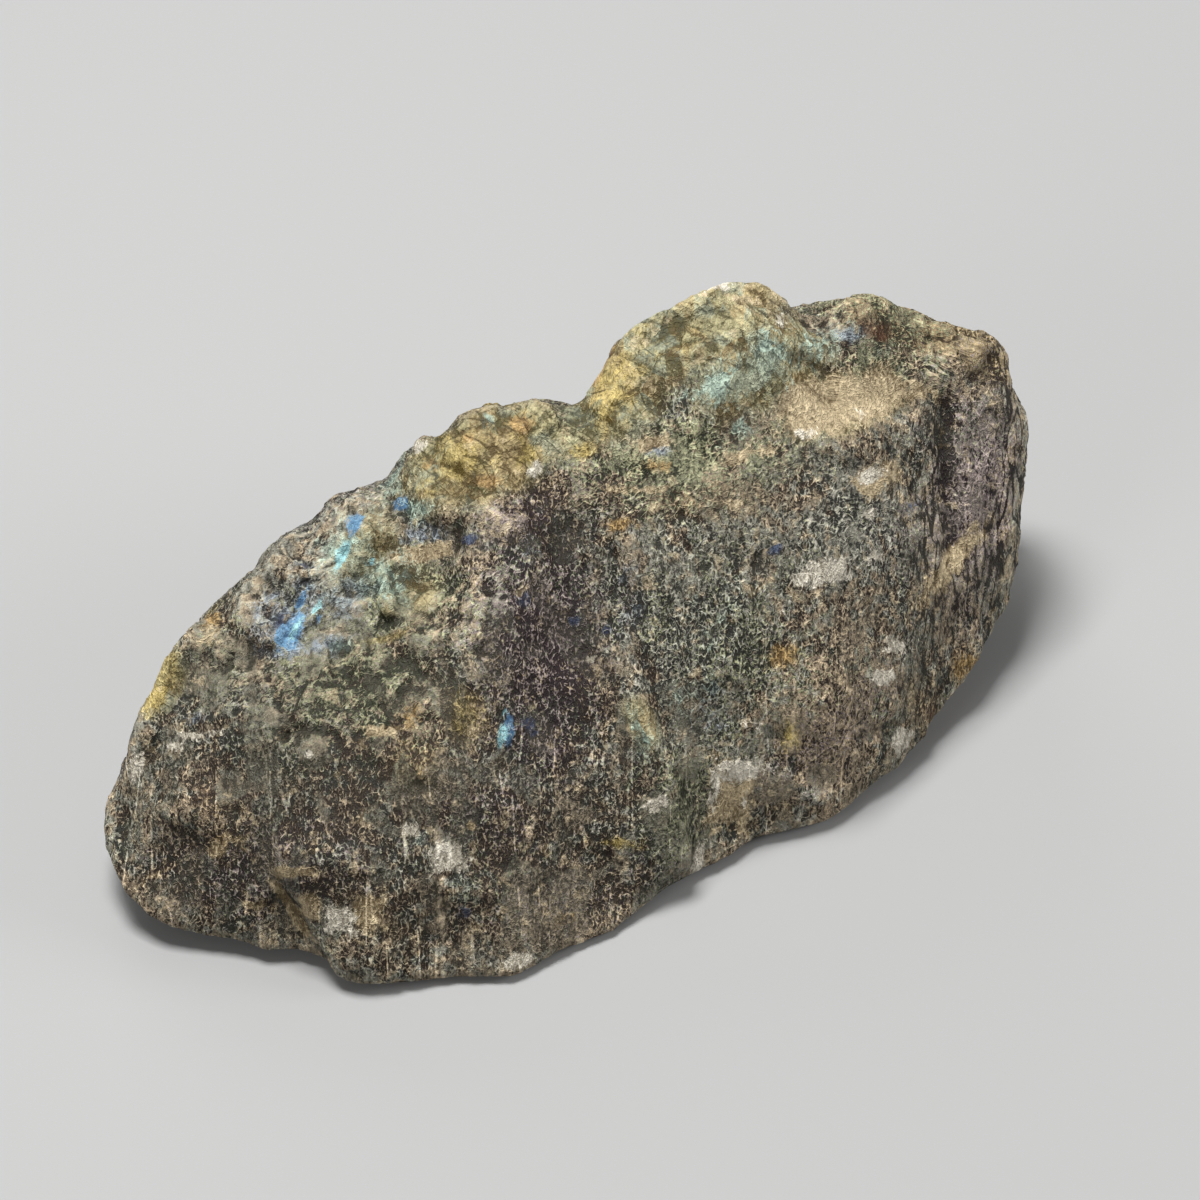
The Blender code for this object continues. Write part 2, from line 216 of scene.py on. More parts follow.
def eased(values, edges, rounds):
    # each point's values averaged with its neighbours', over and over
    values = np.array(values, float)
    flat = values.reshape(len(values), -1)
    ends = np.concatenate([edges[:, 0], edges[:, 1]])
    others = np.concatenate([edges[:, 1], edges[:, 0]])
    count = np.bincount(ends, minlength=len(flat))
    for _ in range(rounds):
        for i in range(flat.shape[1]):
            near = np.bincount(ends, weights=flat[others, i], minlength=len(flat)) / count
            flat[:, i] = 0.5 * flat[:, i] + 0.5 * near
    return flat.reshape(values.shape)


def normalsOf(mesh, points):
    corners = np.empty(len(mesh.loops), np.int32)
    mesh.loops.foreach_get("vertex_index", corners)
    corners = corners.reshape(-1, 4)
    across = points[corners[:, 2]] - points[corners[:, 0]]
    along = points[corners[:, 3]] - points[corners[:, 1]]
    facing = np.cross(across, along)
    sums = np.zeros_like(points)
    for i in range(4):
        for axis in range(3):
            sums[:, axis] += np.bincount(corners[:, i], weights=facing[:, axis], minlength=len(points))
    return sums / np.maximum(np.linalg.norm(sums, axis=1), 1e-12)[:, None]


def smooth(low, high, values):
    share = np.clip((values - low) / (high - low), 0.0, 1.0)
    return share * share * (3.0 - 2.0 * share)


def setField(mesh, name, values):
    field = mesh.attributes.get(name) or mesh.attributes.new(name, "FLOAT", "POINT")
    field.data.foreach_set("value", np.asarray(values, np.float32))


skin = {
    "face": 0.55,  # millimetres, the size of the skin's faces
    "easing": 5,  # rounds of smoothing over the solid's facets
    "soleHeight": 0.3,  # what lies lower than this is the flat sole
    "reliefFrom": (0.3, 2.5),  # heights over which the relief grows from nothing
    "sideRounds": 60,  # rounds of smoothing of the ways that places face
    "behind": (0.05, 0.45),  # how squarely a place faces that way, from none of it to all of it
    "end": (0.58, 0.78),
    "shoulder": (0.8, 0.9),
    "under": (0.3, 0.8),
    "hollowRounds": 12,
    "hollowReach": 0.5,  # millimetres, from the deepest hollow to the highest hump
}
relief = {
    "swell": 0.4,  # millimetres, as all of these but the tilts and the sink
    "chip size": 5.0,
    "chip depth": 0.75,
    "chip tilt": 1.5,
    "flat tilt": 1.8,
    "shard size": 2.6,
    "shard depth": 0.198,
    "shard tilt": 1.5,
    "sliver tilt": 1.6,
    "sink": 0.35,  # how far chips and shards lie below the solid's skin, as a share of their depth
    "grain size": 1.3,
    "grain depth": 0.44,
    "rib size": 1.5,
    "rib depth": 0.88,
    "crumb size": 1.5,
    "crumb depth": 0.52,
}


def evenSkin():
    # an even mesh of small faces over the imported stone
    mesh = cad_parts["labradorite_chunk"].data.copy()
    merged = bmesh.new()
    merged.from_mesh(mesh)
    bmesh.ops.remove_doubles(merged, verts=merged.verts, dist=0.01 * mm)
    merged.to_mesh(mesh)
    merged.free()
    stone = bpy.data.objects.new("stone", mesh)
    bpy.context.scene.collection.objects.link(stone)
    even = stone.modifiers.new("even skin", "REMESH")
    even.mode = "VOXEL"  # faces of one size
    even.voxel_size = skin["face"] * mm
    makeReal(stone)
    stone.data.materials.clear()
    return stone


def makeReal(stone):
    # the object's mesh as its modifiers leave it, and no modifiers
    bpy.context.view_layer.update()
    finished = stone.evaluated_get(bpy.context.evaluated_depsgraph_get())
    stone.data = bpy.data.meshes.new_from_object(finished)
    stone.modifiers.clear()


def easeAndSort(stone):
    # rounds off the thinned facets, and marks which side each place belongs to
    mesh = stone.data
    edges = edgesOf(mesh)
    points = eased(pointsOf(mesh), edges, skin["easing"])
    low = points[:, 2] < skin["soleHeight"] * mm
    points[low, 2] = 0.0
    mesh.vertices.foreach_set("co", points.astype(np.float32).ravel())
    mesh.update()
    facing = eased(normalsOf(mesh, points), edges, skin["sideRounds"])
    facing /= np.linalg.norm(facing, axis=1)[:, None]
    right, _, back = (np.array(axis) for axis in viewAxes(lookFrom["azimuth"], 0.0))
    behind = smooth(*skin["behind"], facing @ -back)
    end = (1.0 - behind) * smooth(*skin["end"], facing @ right)
    shoulder = (1.0 - behind) * (1.0 - end) * smooth(*skin["shoulder"], facing[:, 2])
    under = smooth(*skin["under"], -facing[:, 2])
    setField(mesh, "behind", behind)
    setField(mesh, "endFace", end)
    setField(mesh, "shoulder", shoulder)
    setField(mesh, "hold", smooth(*skin["reliefFrom"], points[:, 2] / mm) * (1.0 - 0.8 * under))
    print("sides", [round(float(f.mean()), 3) for f in (behind, end, shoulder, under)])


shardShape = (1.0, 1.6, 1.6)
wider = 1.3  # flats and slivers against chips and shards


def chipPlace(tree, turned):
    # where the relief and the finish both read the chips
    return stretched(tree, loosened(tree, turned), (1.0, 1.3, 1.2))


def cutCells(tree, place, size, tilt):
    # each cell is a flat of its own slope and level
    cell = cells(tree, place, size)
    seed = cell.out("Position")
    slope = vectorMaths(tree, "SUBTRACT", cell.out("Color"), (0.5, 0.5, 0.5))
    offset = vectorMaths(tree, "SUBTRACT", place, seed)
    level = addNode(tree, "ShaderNodeTexWhiteNoise", {"noise_dimensions": "3D"}, {"Vector": seed})
    return level + vectorMaths(tree, "DOT_PRODUCT", slope, offset) * (tilt / size)


def reliefTree():
    # moves each point along its normal: chips, shards, grain and crumb
    tree = bpy.data.node_groups.new("broken skin", "GeometryNodeTree")
    tree.is_modifier = True
    tree.interface.new_socket("Geometry", in_out="INPUT", socket_type="NodeSocketGeometry")
    for name in relief:
        tree.interface.new_socket(name, in_out="INPUT", socket_type="NodeSocketFloat")
    tree.interface.new_socket("Geometry", in_out="OUTPUT", socket_type="NodeSocketGeometry")
    given = addNode(tree, "NodeGroupInput", {}, {})
    size = {name: given.out(name) for name in relief}

    def field(name):
        kept = addNode(tree, "GeometryNodeInputNamedAttribute", {"data_type": "FLOAT"}, {"Name": name})
        return kept.out("Attribute")

    position = addNode(tree, "GeometryNodeInputPosition", {}, {})
    turned = turnedPlace(tree, position)
    loose = loosened(tree, turned)
    chips = cutCells(tree, chipPlace(tree, turned), size["chip size"], size["chip tilt"])
    flatPlace = shifted(tree, loose, (11.0, 3.0, 7.0))
    flats = cutCells(tree, flatPlace, size["chip size"] * wider, size["flat tilt"])
    shards = cutCells(tree, stretched(tree, loose, shardShape), size["shard size"], size["shard tilt"])
    sliverPlace = shifted(tree, loose, (5.0, 9.0, 2.0))
    slivers = cutCells(tree, sliverPlace, size["shard size"] * wider, size["sliver tilt"])
    upright = drawnOut(tree, turned, (1.0, 7.0, 7.0), size["grain size"])
    ribs = drawnOut(tree, turned, (1.0, 1.0, 7.0), size["rib size"])
    crumb = noise(tree, turned, size["crumb size"], 3.0, 0.6)

    shoulder, end, behind = field("shoulder"), field("endFace"), field("behind")
    calm = 1.0 - 0.7 * field("glassy")
    rugged = shoulder.most(behind * 0.4)  # where the chips are deep
    front = 1.0 - shoulder.most(behind).most(end)
    cut = (chips.least(flats + 0.3 * rugged) - size["sink"]) * size["chip depth"] * (0.3 + rugged)
    height = size["swell"] + cut * (0.4 + 0.6 * calm)
    sliced = (shards.least(slivers) - size["sink"]) * size["shard depth"]
    height = height + sliced * (1.0 + rugged) * calm
    height = height + upright.swing(size["grain depth"]) * front + ribs.swing(size["rib depth"]) * end
    height = height + crumb.swing(size["crumb depth"]) * calm
    height = height * field("hold")

    kept = addNode(tree, "GeometryNodeStoreNamedAttribute", {"data_type": "FLOAT_VECTOR", "domain": "POINT"},
                   {"Geometry": given.out("Geometry"), "Name": "unbroken", "Value": turned})
    normal = addNode(tree, "GeometryNodeInputNormal", {}, {})
    move = vectorMaths(tree, "SCALE", normal, scale=height * mm)
    moved = addNode(tree, "GeometryNodeSetPosition", {}, {"Geometry": kept, "Offset": move})
    real = addNode(tree, "GeometryNodeRealizeInstances", {}, {"Geometry": moved})
    dressed = addNode(tree, "GeometryNodeSetMaterial", {}, {"Geometry": real, "Material": stoneFinish})
    addNode(tree, "NodeGroupOutput", {}, {"Geometry": dressed})
    return tree


# coloured places, and places of painted shade and painted light, in millimetres right and up of the aim as
# seen from one side:
# right, up, half length, half width, turn in degrees, strength
marks = {
    # painted shade: these marks darken places where less light falls
    "shade": (
        (-34.0, -22.0, 18.0, 14.0, 0, 0.9), (-9.0, -8.0, 7.0, 13.0, 0, 0.6), (4.0, -27.0, 9.0, 8.0, 0, 0.4),
        (-26.0, -13.0, 9.0, 8.0, 0, 0.9), (-14.0, -28.0, 10.0, 8.0, 0, 0.7),
        (-3.6, -10.4, 2.0, 3.0, 0, 0.8), (-16.0, -36.0, 14.0, 7.0, 0, 0.4),
        (-44.0, -34.0, 10.0, 4.0, -10, 0.7), (30.0, -14.0, 9.0, 6.0, 45, 0.3),
        (32.0, 34.0, 6.0, 2.4, -15, 0.2), (42.0, 30.0, 4.0, 2.0, -20, 0.1), (-8.0, 7.0, 6.0, 3.0, 30, 0.5),
        (46.0, 2.0, 3.0, 8.0, 0, 0.3), (-17.0, -22.0, 8.0, 8.0, 0, 0.4),
    ),
    # painted light: these marks lighten places where more light falls
    "paintedLight": (
        (10.0, 33.0, 13.0, 5.0, 10, 0.6), (27.0, 23.0, 11.0, 5.0, 10, 0.7),
        (-13.0, 17.0, 8.0, 4.0, 20, 0.3), (-31.0, 5.0, 6.0, 5.0, 40, 0.6), (8.0, 14.0, 12.0, 4.5, 10, 0.5),
        (28.0, 4.0, 9.0, 7.0, 20, 0.6), (46.0, 12.0, 3.4, 11.0, 0, 1.3), (9.4, -17.8, 5.0, 1.2, -68, 0.8),
        (8.0, 20.0, 7.0, 4.0, 30, 0.9), (3.0, 27.0, 6.0, 3.0, 45, 0.5), (-20.0, 0.0, 5.0, 4.0, 0, 0.3),
        (28.0, -16.0, 10.0, 7.0, 45, 1.5), (10.0, 17.0, 10.0, 5.0, 5, 0.8),
        (40.0, 28.0, 6.0, 3.0, -20, 0.4), (24.0, -14.0, 9.0, 6.0, 40, 1.6), (17.0, 26.0, 7.0, 4.0, 40, 0.7),
        (9.0, -24.0, 4.0, 6.0, 0, 0.4), (-30.0, -40.0, 6.0, 3.0, 0, 0.4),
    ),
    "haze": (
        (-37.6, -3.0, 3.6, 3.4, 60, 0.7), (-20.4, 7.8, 3.0, 2.0, 0, 0.5), (29.6, 31.6, 1.6, 1.0, 0, 0.8),
        (28.2, 25.0, 1.4, 1.0, 0, 0.6), (7.2, 17.8, 1.6, 1.0, 0, 0.6), (-33.0, -5.4, 2.6, 1.2, 10, 0.7),
        (-37.8, -6.6, 2.4, 1.4, 0, 0.6), (13.2, -13.2, 2.4, 3.0, 0, 0.5), (-48.6, -14.4, 1.2, 0.6, 0, 0.5),
        (-30.0, 1.2, 3.6, 3.0, 0, 0.5), (-36.0, 0.0, 4.0, 3.0, 60, 0.5), (4.8, 0.0, 4.0, 5.0, 0, 0.3),
        (-9.0, 6.0, 2.0, 1.6, 0, 0.4),
    ),
    "navy": (
        (-3.0, -2.4, 0.9, 0.7, 0, 0.9), (0.8, -3.6, 0.8, 0.6, 0, 0.8), (21.0, 6.2, 0.8, 0.6, 40, 1.0),
        (-15.6, 7.2, 0.9, 0.6, 30, 0.9), (37.2, 11.2, 2.4, 2.6, 0, 0.45), (-9.0, -14.8, 1.6, 1.8, 0, 0.5),
        (-35.2, 4.2, 1.6, 1.0, 0, 0.5), (-12.6, -36.6, 1.6, 1.2, 0, 0.45), (-16.6, -37.4, 1.4, 1.2, 0, 0.5),
        (-8.4, 0.0, 2.0, 1.6, 0, 0.4), (-38.4, -2.8, 1.6, 0.7, 60, 0.8),
    ),
    # blue, cyan, teal and gold: labradorescent flash, a sheen painted as fixed colour
    "blue": (
        (-29.4, 9.0, 1.3, 1.0, 60, 1.0), (-37.0, -3.8, 2.5, 1.2, 60, 1.0), (-36.0, -0.4, 1.7, 0.5, 65, 0.9),
        (-23.8, 11.4, 0.9, 0.7, 40, 0.9), (-11.2, -15.6, 2.2, 0.6, 86, 0.9),
        (-33.8, -2.4, 1.0, 0.4, 65, 0.7),
    ),
    "cyan": (
        (-31.0, 5.2, 1.8, 0.7, 65, 1.0), (-36.4, -3.4, 1.4, 0.5, 60, 0.8), (-27.6, 4.8, 1.2, 0.7, 50, 0.6),
        (-34.0, -1.2, 1.2, 0.4, 65, 0.8), (-12.0, -16.4, 1.7, 0.5, 80, 0.9),
        (-11.8, -13.6, 0.8, 0.4, 80, 0.8), (-29.8, 8.6, 0.8, 0.4, 60, 0.5), (-27.0, 6.4, 0.8, 0.4, 60, 0.5),
    ),
    "teal": (
        (18.4, 27.8, 4.6, 2.4, 48, 0.9), (13.6, 25.6, 3.2, 1.8, 40, 0.8), (25.8, 30.2, 4.4, 2.4, 15, 0.5),
        (17.0, 27.0, 7.0, 3.8, 40, 0.6), (-30.0, 6.0, 6.0, 3.4, 60, 0.5), (34.8, 30.0, 2.4, 1.2, 0, 0.35),
        (-26.4, 2.4, 4.0, 3.2, 0, 0.6), (-21.6, 10.8, 2.0, 1.4, 0, 0.6), (5.2, -15.6, 4.0, 1.7, -68, 0.5),
        (-13.8, 21.0, 1.2, 0.8, 0, 0.6), (-31.2, -5.6, 2.2, 0.8, 0, 0.6), (-16.6, -34.8, 1.8, 2.0, 0, 0.4),
        (10.8, -10.8, 4.0, 3.0, 0, 0.4), (17.4, 21.6, 4.0, 1.6, 40, 0.45), (12.0, -2.4, 6.0, 6.0, 0, 0.3),
        (-21.6, -28.2, 1.8, 1.2, 0, 0.4), (-28.0, 8.0, 3.0, 2.0, 60, 0.5),
    ),
    "gold": (
        (-16.8, 16.8, 3.8, 3.0, 25, 0.8), (-9.6, 20.4, 2.4, 1.8, 0, 0.6), (-9.0, 17.2, 1.7, 1.5, 0, 0.8),
        (-20.4, 13.2, 2.2, 1.6, 0, 0.5), (1.2, 22.8, 3.8, 1.8, 60, 0.7), (-1.8, 17.8, 1.7, 1.2, 0, 0.8),
        (-52.2, -9.6, 4.0, 1.1, 65, 1.0), (4.8, 32.4, 3.0, 1.6, 30, 0.5), (2.4, 28.8, 3.0, 1.6, 45, 0.5),
        (-25.2, -4.6, 4.4, 0.6, 10, 0.7), (-26.4, -15.6, 1.9, 0.6, 0, 0.5), (1.8, -29.0, 3.0, 0.6, -5, 0.8),
        (15.2, -22.6, 2.6, 3.4, 0, 0.6), (-16.0, -14.0, 2.6, 3.0, 0, 0.6), (22.8, -16.2, 1.2, 1.8, 0, 0.7),
        (8.0, 30.0, 5.0, 2.0, 30, 0.4),
    ),
    "amber": (
        (-9.6, 20.8, 1.3, 0.9, 0, 1.0), (-13.8, 14.2, 1.8, 0.8, 0, 0.9), (-15.6, 19.2, 0.8, 0.6, 0, 0.7),
        (-22.2, -14.0, 2.0, 1.2, 0, 0.5), (22.2, -6.6, 2.2, 1.4, 20, 0.8), (7.4, 16.2, 2.0, 0.8, 0, 0.7),
        (2.4, 9.0, 2.0, 0.8, 0, 0.7), (-45.4, -29.0, 1.4, 1.0, 0, 0.6), (-46.6, -2.6, 1.4, 0.9, 30, 0.7),
        (43.2, -7.8, 2.2, 1.8, 60, 0.7), (-4.8, -38.4, 1.2, 1.0, 0, 0.5), (-22.2, -19.2, 2.6, 3.0, 0, 0.3),
        (-20.0, 16.0, 1.2, 0.8, 0, 0.6), (34.0, 26.0, 3.0, 0.8, -8, 0.6), (25.6, 25.2, 2.4, 0.7, 10, 0.6),
        (24.0, 21.8, 1.4, 2.0, 0, 0.5),
    ),
    "rust": (
        (32.4, 32.4, 2.8, 1.4, -15, 0.65), (33.6, 31.4, 0.8, 0.5, 0, 1.0), (-47.4, -24.0, 3.0, 4.0, 0, 0.4),
        (-27.0, -17.6, 1.6, 0.6, 0, 0.4), (40.0, -14.0, 2.0, 3.0, 60, 0.5),
        (24.0, -10.0, 2.0, 1.0, 0, 0.35),
    ),
    "tan": (
        (28.8, 23.6, 6.6, 3.0, 14, 0.95), (37.2, 25.2, 4.0, 1.8, -10, 0.65),
        (33.6, 15.6, 3.4, 1.0, 25, 0.6), (7.2, 36.0, 2.4, 1.2, 25, 0.5), (12.0, 37.0, 2.6, 1.0, 5, 0.5),
        (16.8, 35.6, 2.6, 1.2, -20, 0.5), (17.4, 17.4, 3.4, 0.8, 12, 0.55), (4.8, 13.2, 5.0, 0.6, 3, 0.55),
        (-21.8, 5.4, 3.8, 0.9, 12, 0.95), (-37.0, -36.8, 4.0, 0.6, -59, 0.9),
        (-36.2, -32.5, 2.7, 0.6, 3, 0.9), (-27.7, -37.2, 2.2, 2.1, 0, 0.8),
        (-15.6, -27.0, 0.6, 0.5, 0, 0.8), (39.6, 1.6, 4.2, 1.2, 55, 0.5), (43.0, 5.6, 6.0, 1.5, 52, 0.7),
        (15.6, -23.6, 2.8, 4.0, -8, 0.8), (-15.2, -15.6, 1.2, 1.0, 0, 0.5), (33.0, 14.6, 3.0, 1.6, 25, 0.8),
        (-34.7, -36.8, 1.2, 1.6, 0, 0.8), (-45.8, -29.7, 0.9, 1.0, 0, 0.8),
        (-43.2, -28.9, 1.4, 1.0, 0, 0.6), (-26.4, -15.8, 1.9, 0.7, 0, 0.8), (7.0, 19.0, 3.0, 1.0, 10, 0.6),
        (-47.0, -4.4, 1.6, 1.0, 50, 0.6), (-41.0, -36.6, 3.0, 0.7, 0, 0.5),
        (22.0, -25.0, 2.6, 1.6, 30, 0.5),
    ),
    "cream": (
        (14.0, 37.4, 1.6, 0.6, 0, 0.6), (21.6, 33.0, 1.4, 0.8, -45, 0.5), (-18.2, -30.6, 1.9, 1.7, 5, 0.9),
        (-31.1, -38.1, 1.5, 1.8, 8, 0.9), (27.6, 3.6, 2.8, 1.6, 10, 0.75), (24.0, 2.4, 1.4, 1.2, 0, 0.55),
        (33.0, 5.4, 1.2, 0.8, 0, 0.6), (33.8, -9.2, 1.5, 0.8, 0, 0.8), (35.4, -5.4, 1.5, 1.0, 0, 0.65),
        (6.8, -24.2, 1.6, 0.7, 30, 0.7), (18.2, -15.0, 1.8, 1.3, 0, 0.5), (-9.6, -43.2, 1.2, 1.0, 0, 0.8),
        (-22.6, -27.6, 0.9, 0.8, 0, 0.7), (-34.8, -18.7, 0.4, 0.4, 0, 1.0),
        (-55.2, -19.8, 1.0, 1.8, 0, 0.6), (11.4, -31.8, 3.0, 0.6, 80, 0.8),
        (16.8, -20.4, 2.6, 1.2, 10, 0.8), (13.6, -22.4, 0.8, 2.6, -10, 0.65),
        (17.0, -24.4, 0.5, 1.8, -30, 0.5), (32.4, 15.0, 1.6, 0.8, 20, 0.8), (24.6, 19.8, 1.8, 0.8, 10, 0.4),
        (30.6, 22.4, 0.8, 1.2, 0, 0.4), (36.0, -16.8, 2.4, 1.4, 50, 0.5), (31.8, 10.2, 0.8, 0.7, 0, 0.8),
        (-47.6, -16.2, 3.2, 0.5, 8, 0.6), (-51.0, -17.6, 0.9, 0.5, 0, 0.7), (-1.2, -7.2, 0.8, 0.5, 0, 0.7),
        (-7.8, 15.6, 1.2, 0.8, 50, 0.7), (-21.6, 18.4, 1.2, 0.8, 0, 0.6), (22.0, -0.6, 1.6, 0.9, 30, 0.5),
    ),
    "glassy": (
        (8.0, 33.0, 12.0, 6.0, 12, 1.0), (-14.0, 17.0, 9.0, 4.5, 22, 1.0), (20.0, 28.0, 8.0, 4.0, 30, 0.9),
        (1.0, 25.0, 6.0, 6.0, 45, 0.9), (-28.0, 6.0, 6.0, 3.6, 60, 0.6), (-23.0, 1.0, 5.0, 4.0, 0, 0.5),
        (-52.0, -10.0, 4.0, 2.0, 65, 0.8), (5.0, -14.6, 4.0, 2.0, -65, 0.6),
        (29.0, 23.6, 6.6, 3.2, 14, 0.9),
    ),
    "lying": (
        (10.0, 15.0, 14.0, 6.0, 5, 1.0), (30.0, 12.0, 8.0, 5.0, 15, 0.9), (-24.0, -6.0, 10.0, 4.0, 10, 0.8),
    ),
    "layered": (
        (38.0, 29.0, 10.0, 4.5, -15, 1.0), (30.0, 25.5, 6.0, 3.0, 10, 0.7),
    ),
    "loam": (
        (38.0, 33.0, 9.0, 3.0, -14, 1.0), (46.0, 29.0, 4.0, 3.0, -30, 0.8), (12.0, 12.0, 10.0, 3.0, 8, 0.5),
        (-12.0, 20.0, 6.0, 2.4, 10, 0.6), (-4.0, -37.0, 8.0, 4.0, 0, 0.4), (40.0, -14.0, 4.0, 6.0, 50, 0.5),
        (-28.0, -38.0, 6.0, 3.0, -20, 0.5), (-22.2, -20.0, 3.2, 3.4, 0, 0.8),
        (-16.0, -14.0, 3.0, 3.2, 0, 0.8), (-46.0, -26.0, 4.0, 5.0, 0, 0.4),
    ),
    "umber": (
        (11.4, 13.4, 11.0, 4.0, 5, 0.5), (42.0, 32.0, 6.0, 3.0, -20, 1.0), (30.0, -13.0, 8.0, 8.0, 45, 0.9),
        (-6.0, -37.0, 10.0, 5.0, 0, 0.6), (-22.0, -16.0, 6.0, 8.0, 0, 0.7),
        (-12.0, 17.0, 9.0, 5.0, 20, 0.4), (36.0, 30.0, 8.0, 4.0, -15, 0.5),
        (-46.0, -26.0, 6.0, 5.0, 0, 0.5),
    ),
    "grey": (
        (12.6, -5.0, 10.0, 10.0, 0, 0.9), (30.0, 8.0, 6.0, 7.0, 0, 0.7), (-31.0, 4.0, 6.0, 6.0, 60, 0.8),
        (8.0, -28.0, 5.0, 6.0, 0, 0.6), (-16.0, -30.0, 4.0, 6.0, 0, 0.5), (-48.0, -14.0, 5.0, 4.0, 0, 0.5),
    ),
    "violet": (
        (-7.0, -6.0, 7.0, 13.0, 0, 0.8), (-6.0, -16.0, 2.4, 4.0, 0, 0.8), (44.6, 12.0, 5.0, 12.0, -6, 0.9),
        (-10.0, 9.0, 5.0, 4.0, 20, 0.6), (-40.0, -32.0, 12.0, 6.0, 0, 0.5),
        (28.0, -16.0, 12.0, 4.0, 40, 0.4), (-4.0, -36.0, 10.0, 5.0, 10, 0.4), (38.0, 8.0, 4.0, 6.0, 0, 0.4),
        (-14.0, -26.0, 8.0, 6.0, 0, 0.4),
    ),
    "moss": (
        (-23.0, 1.0, 6.0, 6.0, 0, 0.8), (1.0, 24.0, 9.0, 4.0, 35, 1.0), (10.0, 17.0, 12.0, 4.0, 10, 0.9),
        (12.0, 30.0, 9.0, 4.0, 20, 0.8), (16.0, -6.0, 9.0, 9.0, 0, 0.5), (33.0, 29.0, 7.0, 3.0, 0, 0.6),
        (-46.0, -8.0, 4.0, 6.0, -30, 0.5), (-15.0, 18.0, 9.0, 5.0, 20, 0.6),
        (-30.0, -10.0, 9.0, 7.0, 0, 0.7), (-14.0, -30.0, 5.0, 5.0, 0, 0.4),
        (-34.0, -14.0, 8.0, 5.0, 0, 0.5), (9.0, -25.0, 5.0, 7.0, 0, 0.6),
    ),
    # dark spots and lines; the first is a painted shadow along the groove beside the end face
    "dark": (
        (40.9, 18.6, 4.6, 1.3, -84, 1.4), (-33.0, -34.2, 0.9, 0.7, 0, 0.9), (-22.8, 2.8, 1.2, 0.6, 0, 0.9),
        (-17.6, -12.0, 0.6, 5.0, 0, 0.5), (-10.4, -2.0, 1.0, 6.0, -10, 0.6),
        (-2.0, -12.0, 1.2, 6.0, 0, 0.5), (-7.2, 7.2, 4.0, 3.0, 0, 0.45), (46.6, 7.0, 0.8, 5.0, 0, 0.6),
        (8.0, -25.0, 1.4, 4.0, -10, 0.15), (-29.4, -36.6, 0.8, 0.5, 0, 0.8),
        (32.4, 33.0, 2.4, 1.0, -15, 0.5), (1.0, 12.0, 2.6, 1.2, 20, 0.3),
    ),
    "bare": (
        (9.6, -17.6, 1.6, 4.6, 20, 1.0), (5.2, -16.0, 3.8, 1.7, -68, 1.0), (9.0, -26.4, 3.6, 5.0, 0, 0.9),
        (-26.0, -19.0, 3.0, 2.4, 0, 0.6), (-34.8, -10.2, 8.0, 5.0, 10, 0.8),
        (-42.0, -22.0, 5.0, 6.0, 0, 0.5), (-25.0, -4.0, 5.0, 2.4, 0, 0.7), (29.0, 22.6, 5.0, 1.6, 10, 0.4),
        (-12.0, -36.0, 6.0, 3.0, 0, 0.4), (0.0, -34.0, 5.0, 4.0, 0, 0.4),
        (-46.0, -10.0, 3.0, 6.0, -25, 0.7), (-31.0, -20.0, 15.0, 13.0, 0, 0.45),
        (-8.0, -34.0, 14.0, 8.0, 0, 0.35), (-24.0, -28.0, 4.0, 4.0, 0, 0.35),
        (24.0, -22.0, 6.0, 3.0, 30, 0.4),
    ),
}
